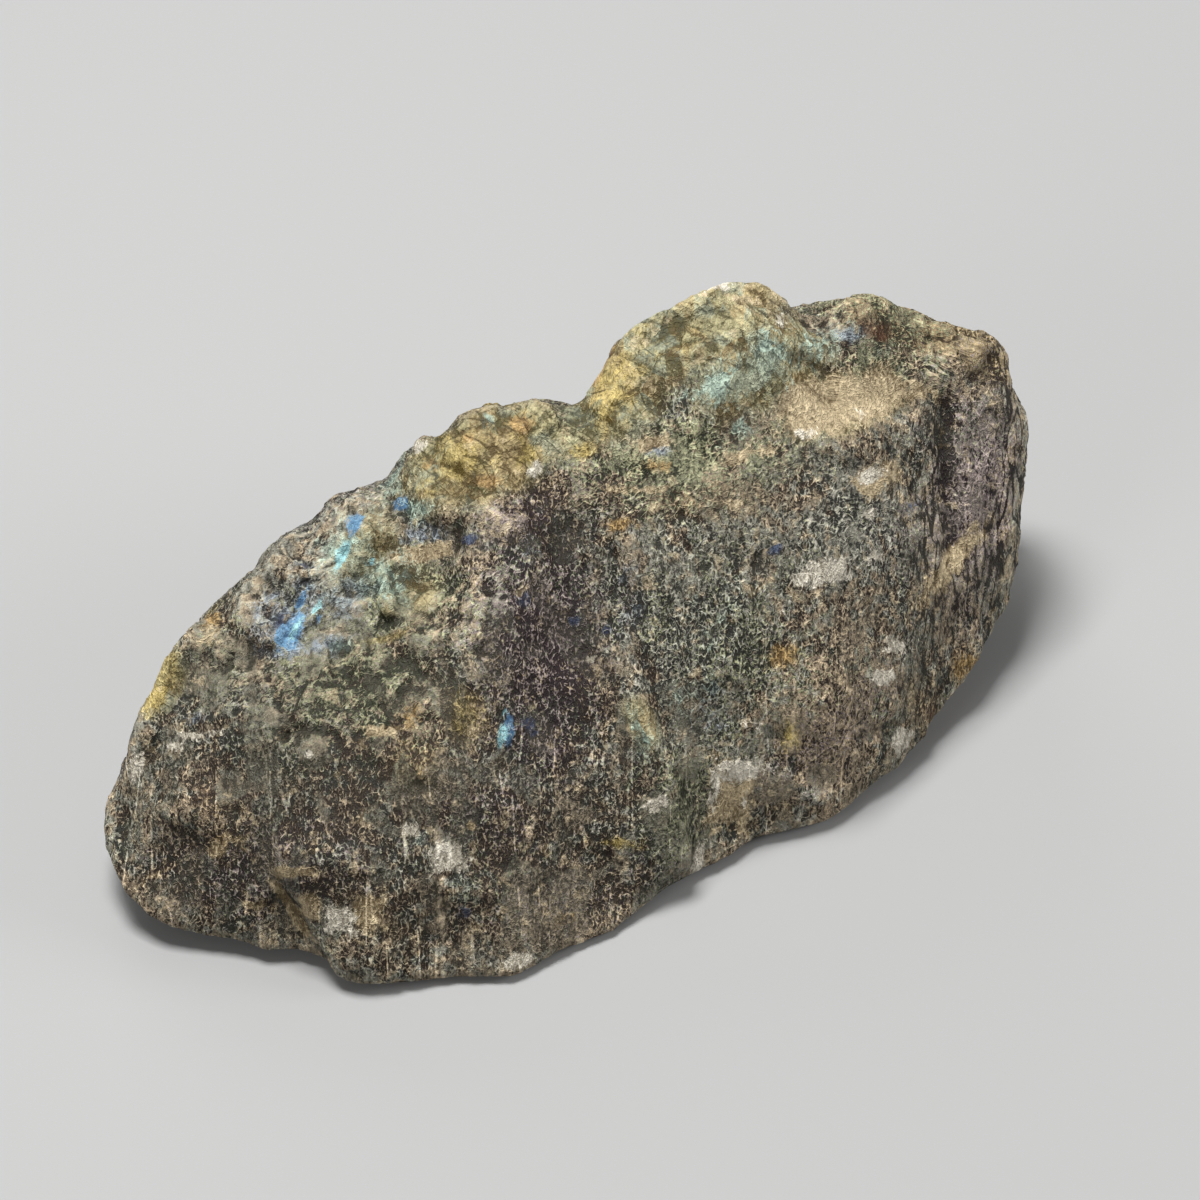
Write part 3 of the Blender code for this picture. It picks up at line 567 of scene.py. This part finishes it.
# the same for the side that faces away
behindMarks = {
    # painted shade on the side that faces away
    "shade": (
        (-30.0, -4.0, 14.0, 6.0, 10, 0.5), (14.0, -8.0, 12.0, 5.0, -5, 0.5),
        (44.0, -6.0, 8.0, 5.0, 20, 0.4),
    ),
    # painted light on the side that faces away
    "paintedLight": (
        (-44.0, 4.0, 6.0, 5.0, 0, 0.5), (-6.0, 8.0, 10.0, 4.0, 10, 0.5), (30.0, 2.0, 10.0, 5.0, -15, 0.6),
    ),
    # blue and cyan here, with teal and gold below: labradorescent flash, a sheen painted as fixed colour
    "blue": (
        (-22.0, 6.0, 1.8, 0.9, 60, 0.9), (-19.0, 3.0, 1.0, 0.5, 50, 0.8), (34.0, 3.0, 1.4, 0.7, 70, 0.8),
    ),
    "cyan": (
        (-20.6, 5.0, 1.2, 0.5, 60, 0.8), (35.4, 1.4, 1.0, 0.5, 60, 0.7), (8.0, 12.0, 1.2, 0.6, 40, 0.6),
    ),
    "navy": (
        (-26.0, 2.0, 1.4, 0.8, 30, 0.7), (18.0, -4.0, 1.2, 0.8, 0, 0.7), (-4.0, -8.0, 1.2, 0.9, 0, 0.6),
    ),
    "haze": (
        (-22.0, 4.0, 4.0, 2.6, 50, 0.6), (34.0, 2.0, 3.0, 2.0, 60, 0.6), (4.0, -2.0, 3.0, 2.0, 0, 0.5),
    ),
    "teal": (
        (-15.0, 10.0, 4.0, 2.0, 30, 0.8), (24.0, 8.0, 3.0, 1.4, -20, 0.6), (-38.0, 0.0, 3.0, 2.0, 0, 0.5),
    ),
    "gold": (
        (-3.0, 15.0, 4.0, 1.8, 5, 0.8), (14.0, 12.0, 3.4, 1.6, -10, 0.7), (46.0, 2.0, 2.4, 1.2, -40, 0.6),
    ),
    "amber": (
        (-1.0, 13.6, 1.6, 0.9, 0, 0.8), (-34.0, -10.0, 2.0, 1.4, 0, 0.5), (22.0, -12.0, 2.4, 1.2, 10, 0.5),
    ),
    "tan": (
        (-46.0, 8.0, 4.0, 1.6, 20, 0.7), (-10.0, 0.0, 3.0, 1.4, 30, 0.7), (9.0, -14.0, 4.0, 1.8, 5, 0.6),
        (38.0, -6.0, 3.0, 1.4, -20, 0.7), (-28.0, -16.0, 3.6, 1.4, 0, 0.6), (20.0, 3.0, 2.4, 1.2, 40, 0.6),
    ),
    "cream": (
        (-41.0, -6.0, 2.0, 1.6, 0, 0.8), (-9.0, 1.0, 1.4, 1.0, 20, 0.8), (3.0, -10.0, 1.8, 1.5, 0, 0.7),
        (28.0, -3.0, 1.6, 1.2, -20, 0.8), (48.0, -8.0, 1.4, 1.0, 0, 0.6), (-20.0, -12.0, 1.0, 0.9, 0, 0.8),
    ),
    "moss": (
        (-34.0, 6.0, 9.0, 5.0, 20, 0.7), (4.0, 6.0, 12.0, 4.0, 0, 0.6), (36.0, -8.0, 8.0, 5.0, 0, 0.6),
    ),
    "umber": (
        (-16.0, -6.0, 9.0, 6.0, 0, 0.8), (24.0, -10.0, 10.0, 4.0, 5, 0.7), (-50.0, -4.0, 5.0, 7.0, 0, 0.6),
    ),
    "grey": (
        (10.0, 0.0, 8.0, 5.0, 0, 0.7), (-32.0, -12.0, 8.0, 5.0, 0, 0.6), (44.0, 0.0, 5.0, 5.0, 0, 0.6),
    ),
    "violet": (
        (-4.0, -12.0, 9.0, 5.0, 10, 0.7), (30.0, 4.0, 7.0, 4.0, -10, 0.5), (-44.0, -12.0, 6.0, 4.0, 0, 0.6),
    ),
    "bare": (
        (-24.0, 0.0, 6.0, 4.0, 15, 0.7), (14.0, -6.0, 7.0, 3.0, -5, 0.7), (40.0, 2.0, 5.0, 3.0, 0, 0.6),
    ),
}
squareKinds = ("cream", "tan")  # kinds whose marks have corners
markReach = {
    "depth": 7.0,  # a mark goes no further than this behind or in front of where it lies
    "near": 1.0,  # where it lies is read this near its middle
    "fade": 0.7,  # how soon it fades past its half length and half width
    "elevation behind": 20.0,  # degrees, where the marks behind are placed from
}


def markSkin(stone, kinds, azimuth, elevation):
    # adds the marks seen from that side to those already there
    mesh = stone.data
    points = pointsOf(mesh) / mm
    right, up, back = (np.array(axis) for axis in viewAxes(azimuth, elevation))
    offset = points - np.array(lookFrom["aim"])
    nearer = offset @ back
    swell = lookFrom["distance"] / (lookFrom["distance"] - nearer)
    across, above = offset @ right * swell, offset @ up * swell
    for name, places in kinds.items():
        field = fieldOf(mesh, name)
        for x, y, halfLength, halfWidth, turn, strength in places:
            run, rise = across - x, above - y
            distance = np.hypot(run, rise)
            here = nearer[distance < markReach["near"]]
            level = here.max() if len(here) else nearer[np.argmin(distance)]
            cosine, sine = math.cos(math.radians(turn)), math.sin(math.radians(turn))
            long = (run * cosine + rise * sine) / halfLength
            wide = (rise * cosine - run * sine) / halfWidth
            spread = long ** 2 + wide ** 2
            if name in squareKinds:
                spread = (long ** 6 + wide ** 6) ** (1.0 / 3.0)
            spot = np.exp(-markReach["fade"] * spread) * (np.abs(nearer - level) < markReach["depth"])
            field = np.maximum(field, strength * spot)
        setField(mesh, name, field)


def fieldOf(mesh, name):
    values = np.zeros(len(mesh.vertices), np.float32)
    if name in mesh.attributes:
        mesh.attributes[name].data.foreach_get("value", values)
    return values


def findHollows(stone):
    # 1 in small hollows, 0 on small bumps
    mesh = stone.data
    points = pointsOf(mesh) / mm
    around = eased(points, edgesOf(mesh), skin["hollowRounds"])
    depth = ((around - points) * normalsOf(mesh, points)).sum(axis=1)
    setField(mesh, "hollow", np.clip(0.5 + depth / skin["hollowReach"], 0.0, 1.0))
    print("hollows", round(float(depth.min()), 3), round(float(depth.max()), 3))


def breakSkin(stone):
    tree = reliefTree()
    broken = stone.modifiers.new("broken skin", "NODES")
    broken.node_group = tree
    for socket in tree.interface.items_tree:
        if socket.in_out == "INPUT" and socket.name in relief:
            broken[socket.identifier] = relief[socket.name]
    makeReal(stone)
    points = pointsOf(stone.data)
    points[:, 2] = np.maximum(points[:, 2], 0.0)
    stone.data.vertices.foreach_set("co", points.astype(np.float32).ravel())
    stone.data.shade_smooth()
    stone.data.update()


# a shadowed tone, a lit tone and how much it lightens, for each kind of place
tones = {
    "brown": ((0.013, 0.010, 0.006), (0.540, 0.450, 0.310), 0.0),
    "grey": ((0.012, 0.012, 0.009), (0.470, 0.455, 0.370), 0.0),
    "umber": ((0.014, 0.008, 0.005), (0.545, 0.425, 0.280), 0.0),
    "loam": ((0.028, 0.018, 0.008), (0.420, 0.320, 0.170), 0.02),
    "violet": ((0.012, 0.007, 0.008), (0.450, 0.365, 0.335), -0.02),
    "moss": ((0.016, 0.018, 0.009), (0.490, 0.490, 0.290), 0.0),
    "rust": ((0.030, 0.012, 0.005), (0.300, 0.170, 0.090), 0.0),
    "bare": ((0.046, 0.043, 0.030), (0.180, 0.170, 0.130), 0.04),
    "olive": ((0.058, 0.050, 0.020), (0.465, 0.420, 0.235), 0.0),
    "honey": ((0.072, 0.048, 0.018), (0.495, 0.385, 0.195), 0.0),
    "mint": ((0.070, 0.080, 0.060), (0.430, 0.480, 0.370), 0.03),
    "haze": ((0.030, 0.036, 0.042), (0.330, 0.370, 0.400), 0.02),
    # gold, teal, blue and cyan: labradorescent flash, a sheen painted as fixed colour
    "gold": ((0.060, 0.042, 0.008), (0.560, 0.440, 0.170), 0.0),
    "amber": ((0.070, 0.042, 0.014), (0.530, 0.360, 0.155), 0.04),
    "tan": ((0.090, 0.064, 0.032), (0.550, 0.450, 0.285), 0.09),
    "teal": ((0.046, 0.064, 0.052), (0.410, 0.510, 0.410), 0.06),
    "cream": ((0.150, 0.132, 0.098), (0.660, 0.615, 0.515), 0.12),
    "navy": ((0.014, 0.017, 0.030), (0.085, 0.110, 0.170), 0.04),
    "blue": ((0.026, 0.060, 0.110), (0.140, 0.270, 0.400), 0.18),
    "cyan": ((0.060, 0.140, 0.160), (0.330, 0.560, 0.560), 0.18),
}
# soft patterns: millimetres across, where each is read, detail and roughness
softPatterns = {
    "patchy": (3.4, (0.0, 0.0, 0.0), 3.0, 0.6),
    "thick": (2.0, (3.0, 60.0, 9.0), 2.0, 0.6),
    "clump": (2.6, (70.0, 5.0, 12.0), 3.0, 0.7),
    "fine": (0.2, (0.0, 0.0, 0.0), 1.0, 0.5),
    "hue": (1.3, (9.0, 30.0, 70.0), 1.0, 0.5),
    "speckHue": (0.34, (19.0, 3.0, 27.0), 0.0, 0.5),
    "tint": (9.0, (40.0, 0.0, 0.0), 2.0, 0.5),
}
# thin winding lines: millimetres apart, how far aside each is read, and width
windings = {
    "strand": (0.62, 0.0, 0.1),
    "thread": (0.42, 31.0, 0.09),
    "crease": (0.7, 57.0, 0.08),
    "rib": (1.3, 3.0, 0.1),
    "hair": (2.6, 0.0, 0.03),
    "rising crack": (2.2, 17.0, 0.045),
    "crossing crack": (2.6, 23.0, 0.035),
}
grains = {
    "dash": 0.8,  # millimetres across, as all of these
    "fleck": 0.3,
    "grit": 0.5,
    "streak": 0.9,
    "rib": 0.8,
    "flow": 1.2,
    "feather": 0.8,
    "block": 3.2,
}
# how much each pattern lightens the stone, or darkens it below zero
groundLight = 0.2
weights = {
    "strands": 0.7,
    "creases": -0.3,
    "flecks": 1.0,
    "grit": 0.08,
    "fine": 0.25,
    "patches": 0.16,
    "blocks": 0.08,
    "chips": 1.0,
    "clumps": 0.14,
    "streaks": 1.0,
    "hairs": 0.7,
    "shade": -0.16,
    "paintedLight": 0.14,
    "shoulder": 0.09,
    "glassy": 0.05,
    "shards": 0.16,
    "feathers": 0.9,
    "flow": 0.9,
    "veins": 0.24,
    "seams": 0.4,
    "dark": -0.3,
    "cracks": -0.35,
    "hollows": -1.0,
    "humps": 0.2,
}
# where the edge of each kind of mark begins and where the mark is full
markEdges = {
    "haze": (0.2, 0.7),
    "gold": (0.2, 0.75),
    "amber": (0.25, 0.7),
    "tan": (0.3, 0.56),
    "teal": (0.2, 0.7),
    "cream": (0.3, 0.54),
    "navy": (0.35, 0.6),
    "blue": (0.3, 0.62),
    "cyan": (0.3, 0.66),
}
# thin pale seams down the front: right, top and bottom, in millimetres as for the marks
seams = (
    (-29.2, -3.0, -20.0), (-24.4, -11.0, -17.0), (-19.2, 0.7, -9.0), (3.8, -12.0, -28.0),
    (11.6, -19.0, -32.0), (-45.0, -22.0, -30.0), (-38.6, -20.0, -26.0), (-33.0, -24.0, -30.0),
    (-20.4, -14.0, -22.0), (22.0, -6.0, -14.0),
)
finish = {
    "specular": 0.16,
    "bump": 0.00025,  # metres
    "roughness": 0.4,
}


def mixed(tree, share, first, second):
    # the mix node takes colours at inputs 6 and 7 and gives theirs at output 2
    values = {0: share, 6: asColour(first), 7: asColour(second)}
    return addNode(tree, "ShaderNodeMix", {"data_type": "RGBA"}, values).out(2)


def chosenPlace(tree, share, first, second):
    # and places at inputs 4 and 5, with theirs at output 1
    return addNode(tree, "ShaderNodeMix", {"data_type": "VECTOR"}, {0: share, 4: first, 5: second}).out(1)


def asColour(value):
    return value if isinstance(value, Wire) else (*value, 1.0)


def between(share, first, second):
    return first + (second - first) * share


def windingLines(tree, place, name):
    # 1 along the middle of each line
    size, aside, width = windings[name]
    moved = shifted(tree, place, (aside, aside * 0.5, -aside))
    return abs(noise(tree, moved, size, 0.0, 0.5, 0.45) - 0.5).step(width, 0.0)


def shadesOf(tree, cell):
    # two random shades of each cell
    shade = addNode(tree, "ShaderNodeSeparateColor", {}, {"Color": cell.out("Color")})
    return shade, shade.out("Green")


def wallsOf(tree, place, size):
    # millimetres to the nearest wall between the cells
    return cells(tree, place, size, "DISTANCE_TO_EDGE") * size


class Look:
    # the places, marks and patterns that the parts of the stone's finish share
    def __init__(self, tree):
        self.tree = tree
        place = addNode(tree, "ShaderNodeTexCoord", {}, {}).out("Object")
        self.turned = turnedPlace(tree, place)
        self.upright = stretched(tree, self.turned, (1.0, 1.6, 1.6))
        self.leaning = rotated(tree, self.turned, -10.0, "Y_AXIS")
        self.loose = loosened(tree, self.turned)
        right, up, _ = viewAxes(lookFrom["azimuth"], lookFrom["elevation"])
        offset = vectorMaths(tree, "SUBTRACT", inMillimetres(tree, place), lookFrom["aim"])
        self.across = vectorMaths(tree, "DOT_PRODUCT", offset, right)
        self.above = vectorMaths(tree, "DOT_PRODUCT", offset, up)
        for name, (size, shift, detail, rough) in softPatterns.items():
            setattr(self, name, noise(tree, shifted(tree, self.turned, shift), size, detail, rough))
        self.clump = self.clump.step(0.6, 0.66)
        self.shoulder, self.end, self.behind = map(self.field, ("shoulder", "endFace", "behind"))
        self.glassy = (self.field("glassy") + self.patchy.swing(0.5)).step(0.2, 0.6)

    def attribute(self, name):
        settings = {"attribute_type": "GEOMETRY", "attribute_name": name}
        return addNode(self.tree, "ShaderNodeAttribute", settings, {})

    def field(self, name):
        return self.attribute(name).out("Fac")


def grainWay(look):
    # down the front, and otherwise over the shoulder, down the end and along the layers
    tree, way = look.tree, look.upright
    lying = look.shoulder.most(look.field("lying"))
    others = (
        (lying, rotated(tree, look.turned, 48.0), (1.0, 2.0, 1.3)),
        (look.end, look.leaning, (0.8, 1.2, 2.2)),
        (look.field("layered"), rotated(tree, look.loose, 12.0), (6.0, 1.0, 0.7)),
    )
    for share, place, stretch in others:
        torn = share + look.patchy.swing(0.9)
        ragged = torn.maths("GREATER_THAN", torn, 0.5)
        way = chosenPlace(tree, ragged, way, stretched(tree, place, stretch))
    return way


def addGrain(look):
    # short pale strands and dark creases, with flecks and grit between them
    tree, way = look.tree, grainWay(look)
    dashes = noise(tree, way, grains["dash"], 0.0)
    strands = windingLines(tree, way, "strand") * dashes.step(0.36, 0.56)
    threads = windingLines(tree, way, "thread") * dashes.step(0.64, 0.44)
    look.strands = strands.most(threads * 0.85)
    look.creases = windingLines(tree, way, "crease")
    look.flecks = noise(tree, look.upright, grains["fleck"], 1.0, 0.5, 0.4)
    look.grit, _ = shadesOf(tree, cells(tree, look.upright, grains["grit"]))


def addStreaks(look):
    # streaks down the front, ribs down the end, layers on the shoulder, and fine pale hairs
    tree, turned = look.tree, look.turned
    streaks = drawnOut(tree, turned, (1.0, 7.0, 7.0), grains["streak"])
    ribShape = (1.0, 2.6, 10.0)
    ribs = drawnOut(tree, look.leaning, ribShape, grains["rib"])
    ribs = ribs - 0.5 * windingLines(tree, stretched(tree, look.leaning, ribShape), "rib")
    look.streaks = between(look.end, streaks, ribs + 0.15)
    look.flow = drawnOut(tree, look.loose, (6.0, 1.6, 1.0), grains["flow"])
    look.feather = drawnOut(tree, rotated(tree, turned, 40.0), (5.0, 1.0, 1.6), grains["feather"])
    hair = windingLines(tree, stretched(tree, turned, (1.0, 16.0, 16.0)), "hair")
    low = addNode(tree, "ShaderNodeSeparateXYZ", {}, {"Vector": turned}).out("Z").step(30.0, 22.0)
    look.hair = hair * look.patchy.step(0.48, 0.6) * (1.0 - look.shoulder.most(look.end)) * low


def addBreaks(look):
    # the chips and shards that the relief cuts, and the cracks between and across them
    tree, turned, shoulder, glassy = look.tree, look.turned, look.shoulder, look.glassy
    unbroken = look.attribute("unbroken").out("Vector")
    chipWay = chipPlace(tree, unbroken)
    shardWay = stretched(tree, loosened(tree, unbroken), shardShape)
    look.chipTone, look.chipHue = shadesOf(tree, cells(tree, chipWay, relief["chip size"]))
    look.shardHue, look.shardTone = shadesOf(tree, cells(tree, shardWay, relief["shard size"]))
    chipWall = wallsOf(tree, chipWay, relief["chip size"])
    shardWall = wallsOf(tree, shardWay, relief["shard size"])
    chipCrack = (chipWall + look.fine.swing(0.25)).step(0.3, 0.06) * look.patchy.step(0.34, 0.48)
    shardCrack = (shardWall + look.fine.swing(0.2)).step(0.2, 0.04) * look.thick.step(0.42, 0.55)
    reach = (0.45 * glassy + 0.35 * shoulder).most(0.5 * look.behind).least(1.0)
    short = chipCrack.most(shardCrack * 0.7) * reach
    rising = stretched(tree, rotated(tree, turned, 40.0), (4.0, 1.0, 1.3))
    crossing = stretched(tree, rotated(tree, turned, -35.0), (3.0, 1.0, 1.3))
    crossing = windingLines(tree, crossing, "crossing crack") * 0.8
    long = windingLines(tree, rising, "rising crack").most(crossing)
    long = long * (shoulder * 0.3 + glassy * look.thick.step(0.3, 0.5)).least(1.0)
    look.crack = short.most(long) * (1.0 - 0.85 * look.field("tan").step(0.3, 0.6))
    vein = (shardWall + look.flecks.swing(0.35)).step(0.26, 0.1) * shoulder * (1.0 - 0.7 * glassy)
    look.vein = vein * (1.0 - look.field("bare")) * (1.0 - look.field("dark"))


def addSeams(look):
    # the thin pale seams, winding a little and broken here and there
    wander = look.thick.swing(0.5) + look.flecks.swing(0.4)
    seam = 0.0
    for right, top, bottom in seams:
        line = abs(look.across + wander - right).step(0.16, 0.05)
        run = look.above.step(bottom - 0.5, bottom + 0.5) * look.above.step(top + 0.5, top - 0.5)
        seam = (line * run).most(seam)
    ragged = (look.flecks + look.thick.swing(0.3)).step(0.4, 0.55)
    look.seam = seam * (1.0 - look.shoulder.most(look.behind)) * ragged


def addBlocks(look):
    # angular blocks, some of them smooth and calm, and how dense the grain lies on them
    tree, glassy = look.tree, look.glassy
    jostled = wandering(tree, look.turned, 3.0, 2.5)
    block = cells(tree, stretched(tree, jostled, (1.0, 1.3, 1.3)), grains["block"])
    look.blockTone, look.blockHue = shadesOf(tree, block)
    smoothBlock = (look.blockTone + look.flecks.swing(0.3)).step(0.5, 0.58)
    look.calm = (look.field("bare") * (0.4 + 0.9 * smoothBlock) + 0.4 * smoothBlock).least(1.0)
    pale = glassy.most(look.field("cream")).most(look.field("tan"))
    quiet = (look.calm + pale * 0.8).least(1.0)
    dense = 0.66 + 0.44 * look.thick.step(0.35, 0.6)
    look.dense = dense * (1.0 - 0.6 * quiet) * (1.0 - 0.2 * look.shoulder)


def lightOf(look):
    # how light a place is, from 0 in the dark tones to 1 in the lit ones
    shoulder, glassy, flecks, dense = look.shoulder, look.glassy, look.flecks, look.dense
    hollow = look.field("hollow")
    streaky = 0.5 + look.end * look.above.step(-8.0, 8.0) - 0.3 * look.field("bare").least(1.0)
    patterns = {
        "strands": (look.strands * (0.7 + 0.6 * (flecks - 0.3)) - 0.34) * dense,
        "creases": (look.creases - 0.3) * dense,
        "flecks": (flecks - 0.5) * (0.3 + 0.7 * dense),
        "grit": look.grit - 0.5,
        "fine": look.fine - 0.5,
        "patches": look.patchy - 0.5,
        "blocks": look.blockTone - 0.5,
        "chips": (look.chipTone - 0.5) * (0.07 + 0.1 * shoulder + 0.25 * glassy),
        "clumps": look.clump,
        "streaks": (look.streaks - 0.5) * streaky * (1.0 - shoulder),
        "hairs": look.hair,
        # painted shade from the marks that darken places where less light falls
        "shade": look.field("shade"),
        # painted light from the marks that lighten places where more light falls
        "paintedLight": look.field("paintedLight"),
        # painted light: places that face upwards are lighter, as if lit from above
        "shoulder": shoulder * (1.0 - glassy),
        "glassy": glassy,
        "shards": (look.shardTone - 0.5) * glassy,
        "feathers": (look.feather - 0.5) * glassy,
        "flow": (look.flow - 0.5) * shoulder * (1.0 - glassy),
        "veins": look.vein,
        "seams": look.seam,
        # dark marks, among them a painted shadow in the groove beside the end face
        "dark": look.field("dark"),
        "cracks": look.crack,
        # painted shade darkens the small hollows; the small humps come out lighter
        "hollows": (0.32 - 0.22 * glassy) * hollow.step(0.55, 0.95),
        "humps": (1.0 - hollow).step(0.55, 0.95),
    }
    light = groundLight
    for name, weight in weights.items():
        light = light + patterns[name] * weight
    return light


def kindShares(look):
    # how much of each kind lies at a place, in the order in which the kinds are laid on
    field, patchy, glassy, hue = look.field, look.patchy, look.glassy, look.hue
    drift = 0.3 * look.tint + 0.7 * hue + look.blockHue.swing(0.16)
    speck = look.speckHue.swing(1.6)
    mossy = field("moss") + 0.4 * (look.blockHue - 0.6) + look.tint.swing(0.6) + hue.swing(0.5) + speck
    purplish = field("violet") + patchy.swing(0.6) + hue.swing(0.3) - speck
    warm = 0.25 * look.shardHue + 0.5 * hue + 0.25 * look.chipHue + look.thick.swing(0.4)
    cool = 0.2 * look.shardHue + 0.8 * patchy + look.fine.swing(0.2)
    shares = {
        "grey": (drift + 0.2 * field("grey") - 0.15 * field("umber")).step(0.47, 0.6),
        "umber": (drift + 0.15 * field("grey") - 0.25 * field("umber")).step(0.5, 0.36) * 0.9,
        "loam": (field("loam") + patchy.swing(0.6)).step(0.15, 0.7) * 0.85,
        "moss": mossy.step(0.2, 0.75),
        "violet": purplish.step(0.25, 0.8),
        "rust": (field("rust") + patchy.swing(0.6)).step(0.3, 0.7),
        "bare": look.calm * 0.6,
        "olive": glassy * 0.9,
        "honey": glassy * warm.step(0.4, 0.66) * 0.85,
        "mint": glassy * cool.step(0.48, 0.34) * 0.6,
    }
    torn = 0.2 * (look.strands - 0.4) + look.grit.swing(0.4) + patchy.swing(0.9) + look.thick.swing(0.9)
    uneven = torn * 0.6 + look.shardTone.swing(0.25)
    for name, (low, high) in markEdges.items():
        edge = field(name) + (uneven * 0.9 if name in squareKinds else uneven)
        share = edge.step(low, high) * field(name).step(0.06, 0.2)
        if name in ("gold", "teal"):
            share = share * (0.6 + 0.4 * look.chipHue.step(0.3, 0.5))
        if name in ("blue", "cyan", "navy"):
            share = share * (1.0 - 0.6 * look.strands * look.thick.step(0.4, 0.6))
        if name == "tan":
            share = share.most(0.5 * look.clump)
        shares[name] = share
    return shares


def stoneMaterial():
    material = bpy.data.materials.new("grey-brown labradorite")
    material.use_nodes = True
    tree = material.node_tree
    shader = tree.nodes["Principled BSDF"]
    shader.inputs["Specular IOR Level"].default_value = finish["specular"]
    look = Look(tree)
    for addPart in (addGrain, addStreaks, addBreaks, addSeams, addBlocks):
        addPart(look)

    light = lightOf(look)
    dark, lit, _ = tones["brown"]
    for name, share in kindShares(look).items():
        darkTone, litTone, lift = tones[name]
        dark = mixed(tree, share, dark, darkTone)
        lit = mixed(tree, share, lit, litTone)
        light = light + share * lift
    colour = mixed(tree, light.most(0.0).least(1.0), dark, lit)
    roughness = finish["roughness"] + 0.3 * look.fine + 0.15 * (1.0 - look.grit)

    rise = look.strands * 0.5 + look.fine * 0.45 + look.flecks * 0.9 + look.patchy
    bump = addNode(tree, "ShaderNodeBump", {}, {"Strength": 1.0, "Distance": finish["bump"], "Height": rise})
    for name, wire in (("Base Color", colour), ("Roughness", roughness), ("Normal", bump)):
        tree.links.new(wire.socket, shader.inputs[name])
    return material


studio = {
    "floorReach": 3.0,  # metres
    "paper": (0.24, 0.24, 0.238, 1.0),
    "paperRoughness": 0.8,
    "air": (0.95, 0.95, 0.95, 1.0),
    "airStrength": 0.26,
    "lampsAimAt": (0.0, 0.0, 0.02),
}


def makeStage():
    reach = studio["floorReach"]
    corners = [(-reach, -reach, 0), (reach, -reach, 0), (reach, reach, 0), (-reach, reach, 0)]
    floorMesh = bpy.data.meshes.new("floor")
    floorMesh.from_pydata(corners, [], [(0, 1, 2, 3)])
    floor = bpy.data.objects.new("floor", floorMesh)
    bpy.context.scene.collection.objects.link(floor)
    paper = bpy.data.materials.new("pale paper")
    paper.use_nodes = True
    shader = paper.node_tree.nodes["Principled BSDF"]
    shader.inputs["Base Color"].default_value = studio["paper"]
    shader.inputs["Roughness"].default_value = studio["paperRoughness"]
    floorMesh.materials.append(paper)


lamps = {  # metres and watts
    "overhead": {"from": (-0.1, 0.12, 0.85), "size": 0.3, "power": 14.0},
    "left front": {"from": (-0.75, -0.45, 0.45), "size": 0.35, "power": 2.8},
    "right": {"from": (0.75, -0.35, 0.4), "size": 0.35, "power": 4.5},
    "behind": {"from": (0.1, 0.9, 0.5), "size": 0.5, "power": 3.0},
}


def makeLights():
    world = bpy.data.worlds.new("studio")
    bpy.context.scene.world = world
    world.use_nodes = True
    air = world.node_tree.nodes["Background"]
    air.inputs["Color"].default_value = studio["air"]
    air.inputs["Strength"].default_value = studio["airStrength"]
    for name, lamp in lamps.items():
        light = bpy.data.lights.new(name, "AREA")
        light.size = lamp["size"]
        light.energy = lamp["power"]
        holder = bpy.data.objects.new(name, light)
        place = Vector(lamp["from"])
        holder.location = place
        holder.rotation_euler = (place - Vector(studio["lampsAimAt"])).to_track_quat("Z", "Y").to_euler()
        bpy.context.scene.collection.objects.link(holder)


bpy.context.scene.view_settings.view_transform = "Standard"  # the tones as they are mixed
placeCamera()
makeStage()
makeLights()
stoneFinish = stoneMaterial()
print("camera, stage, lights and finish are ready")
stone = evenSkin()
easeAndSort(stone)
print("even skin", len(stone.data.polygons))
markSkin(stone, marks, lookFrom["azimuth"], lookFrom["elevation"])
markSkin(stone, behindMarks, lookFrom["azimuth"] + 180.0, markReach["elevation behind"])
breakSkin(stone)
findHollows(stone)
stone.name = "rough_stone"
print("broken skin", len(stone.data.polygons), "faces")
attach(stone, "root")
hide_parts("labradorite_chunk")
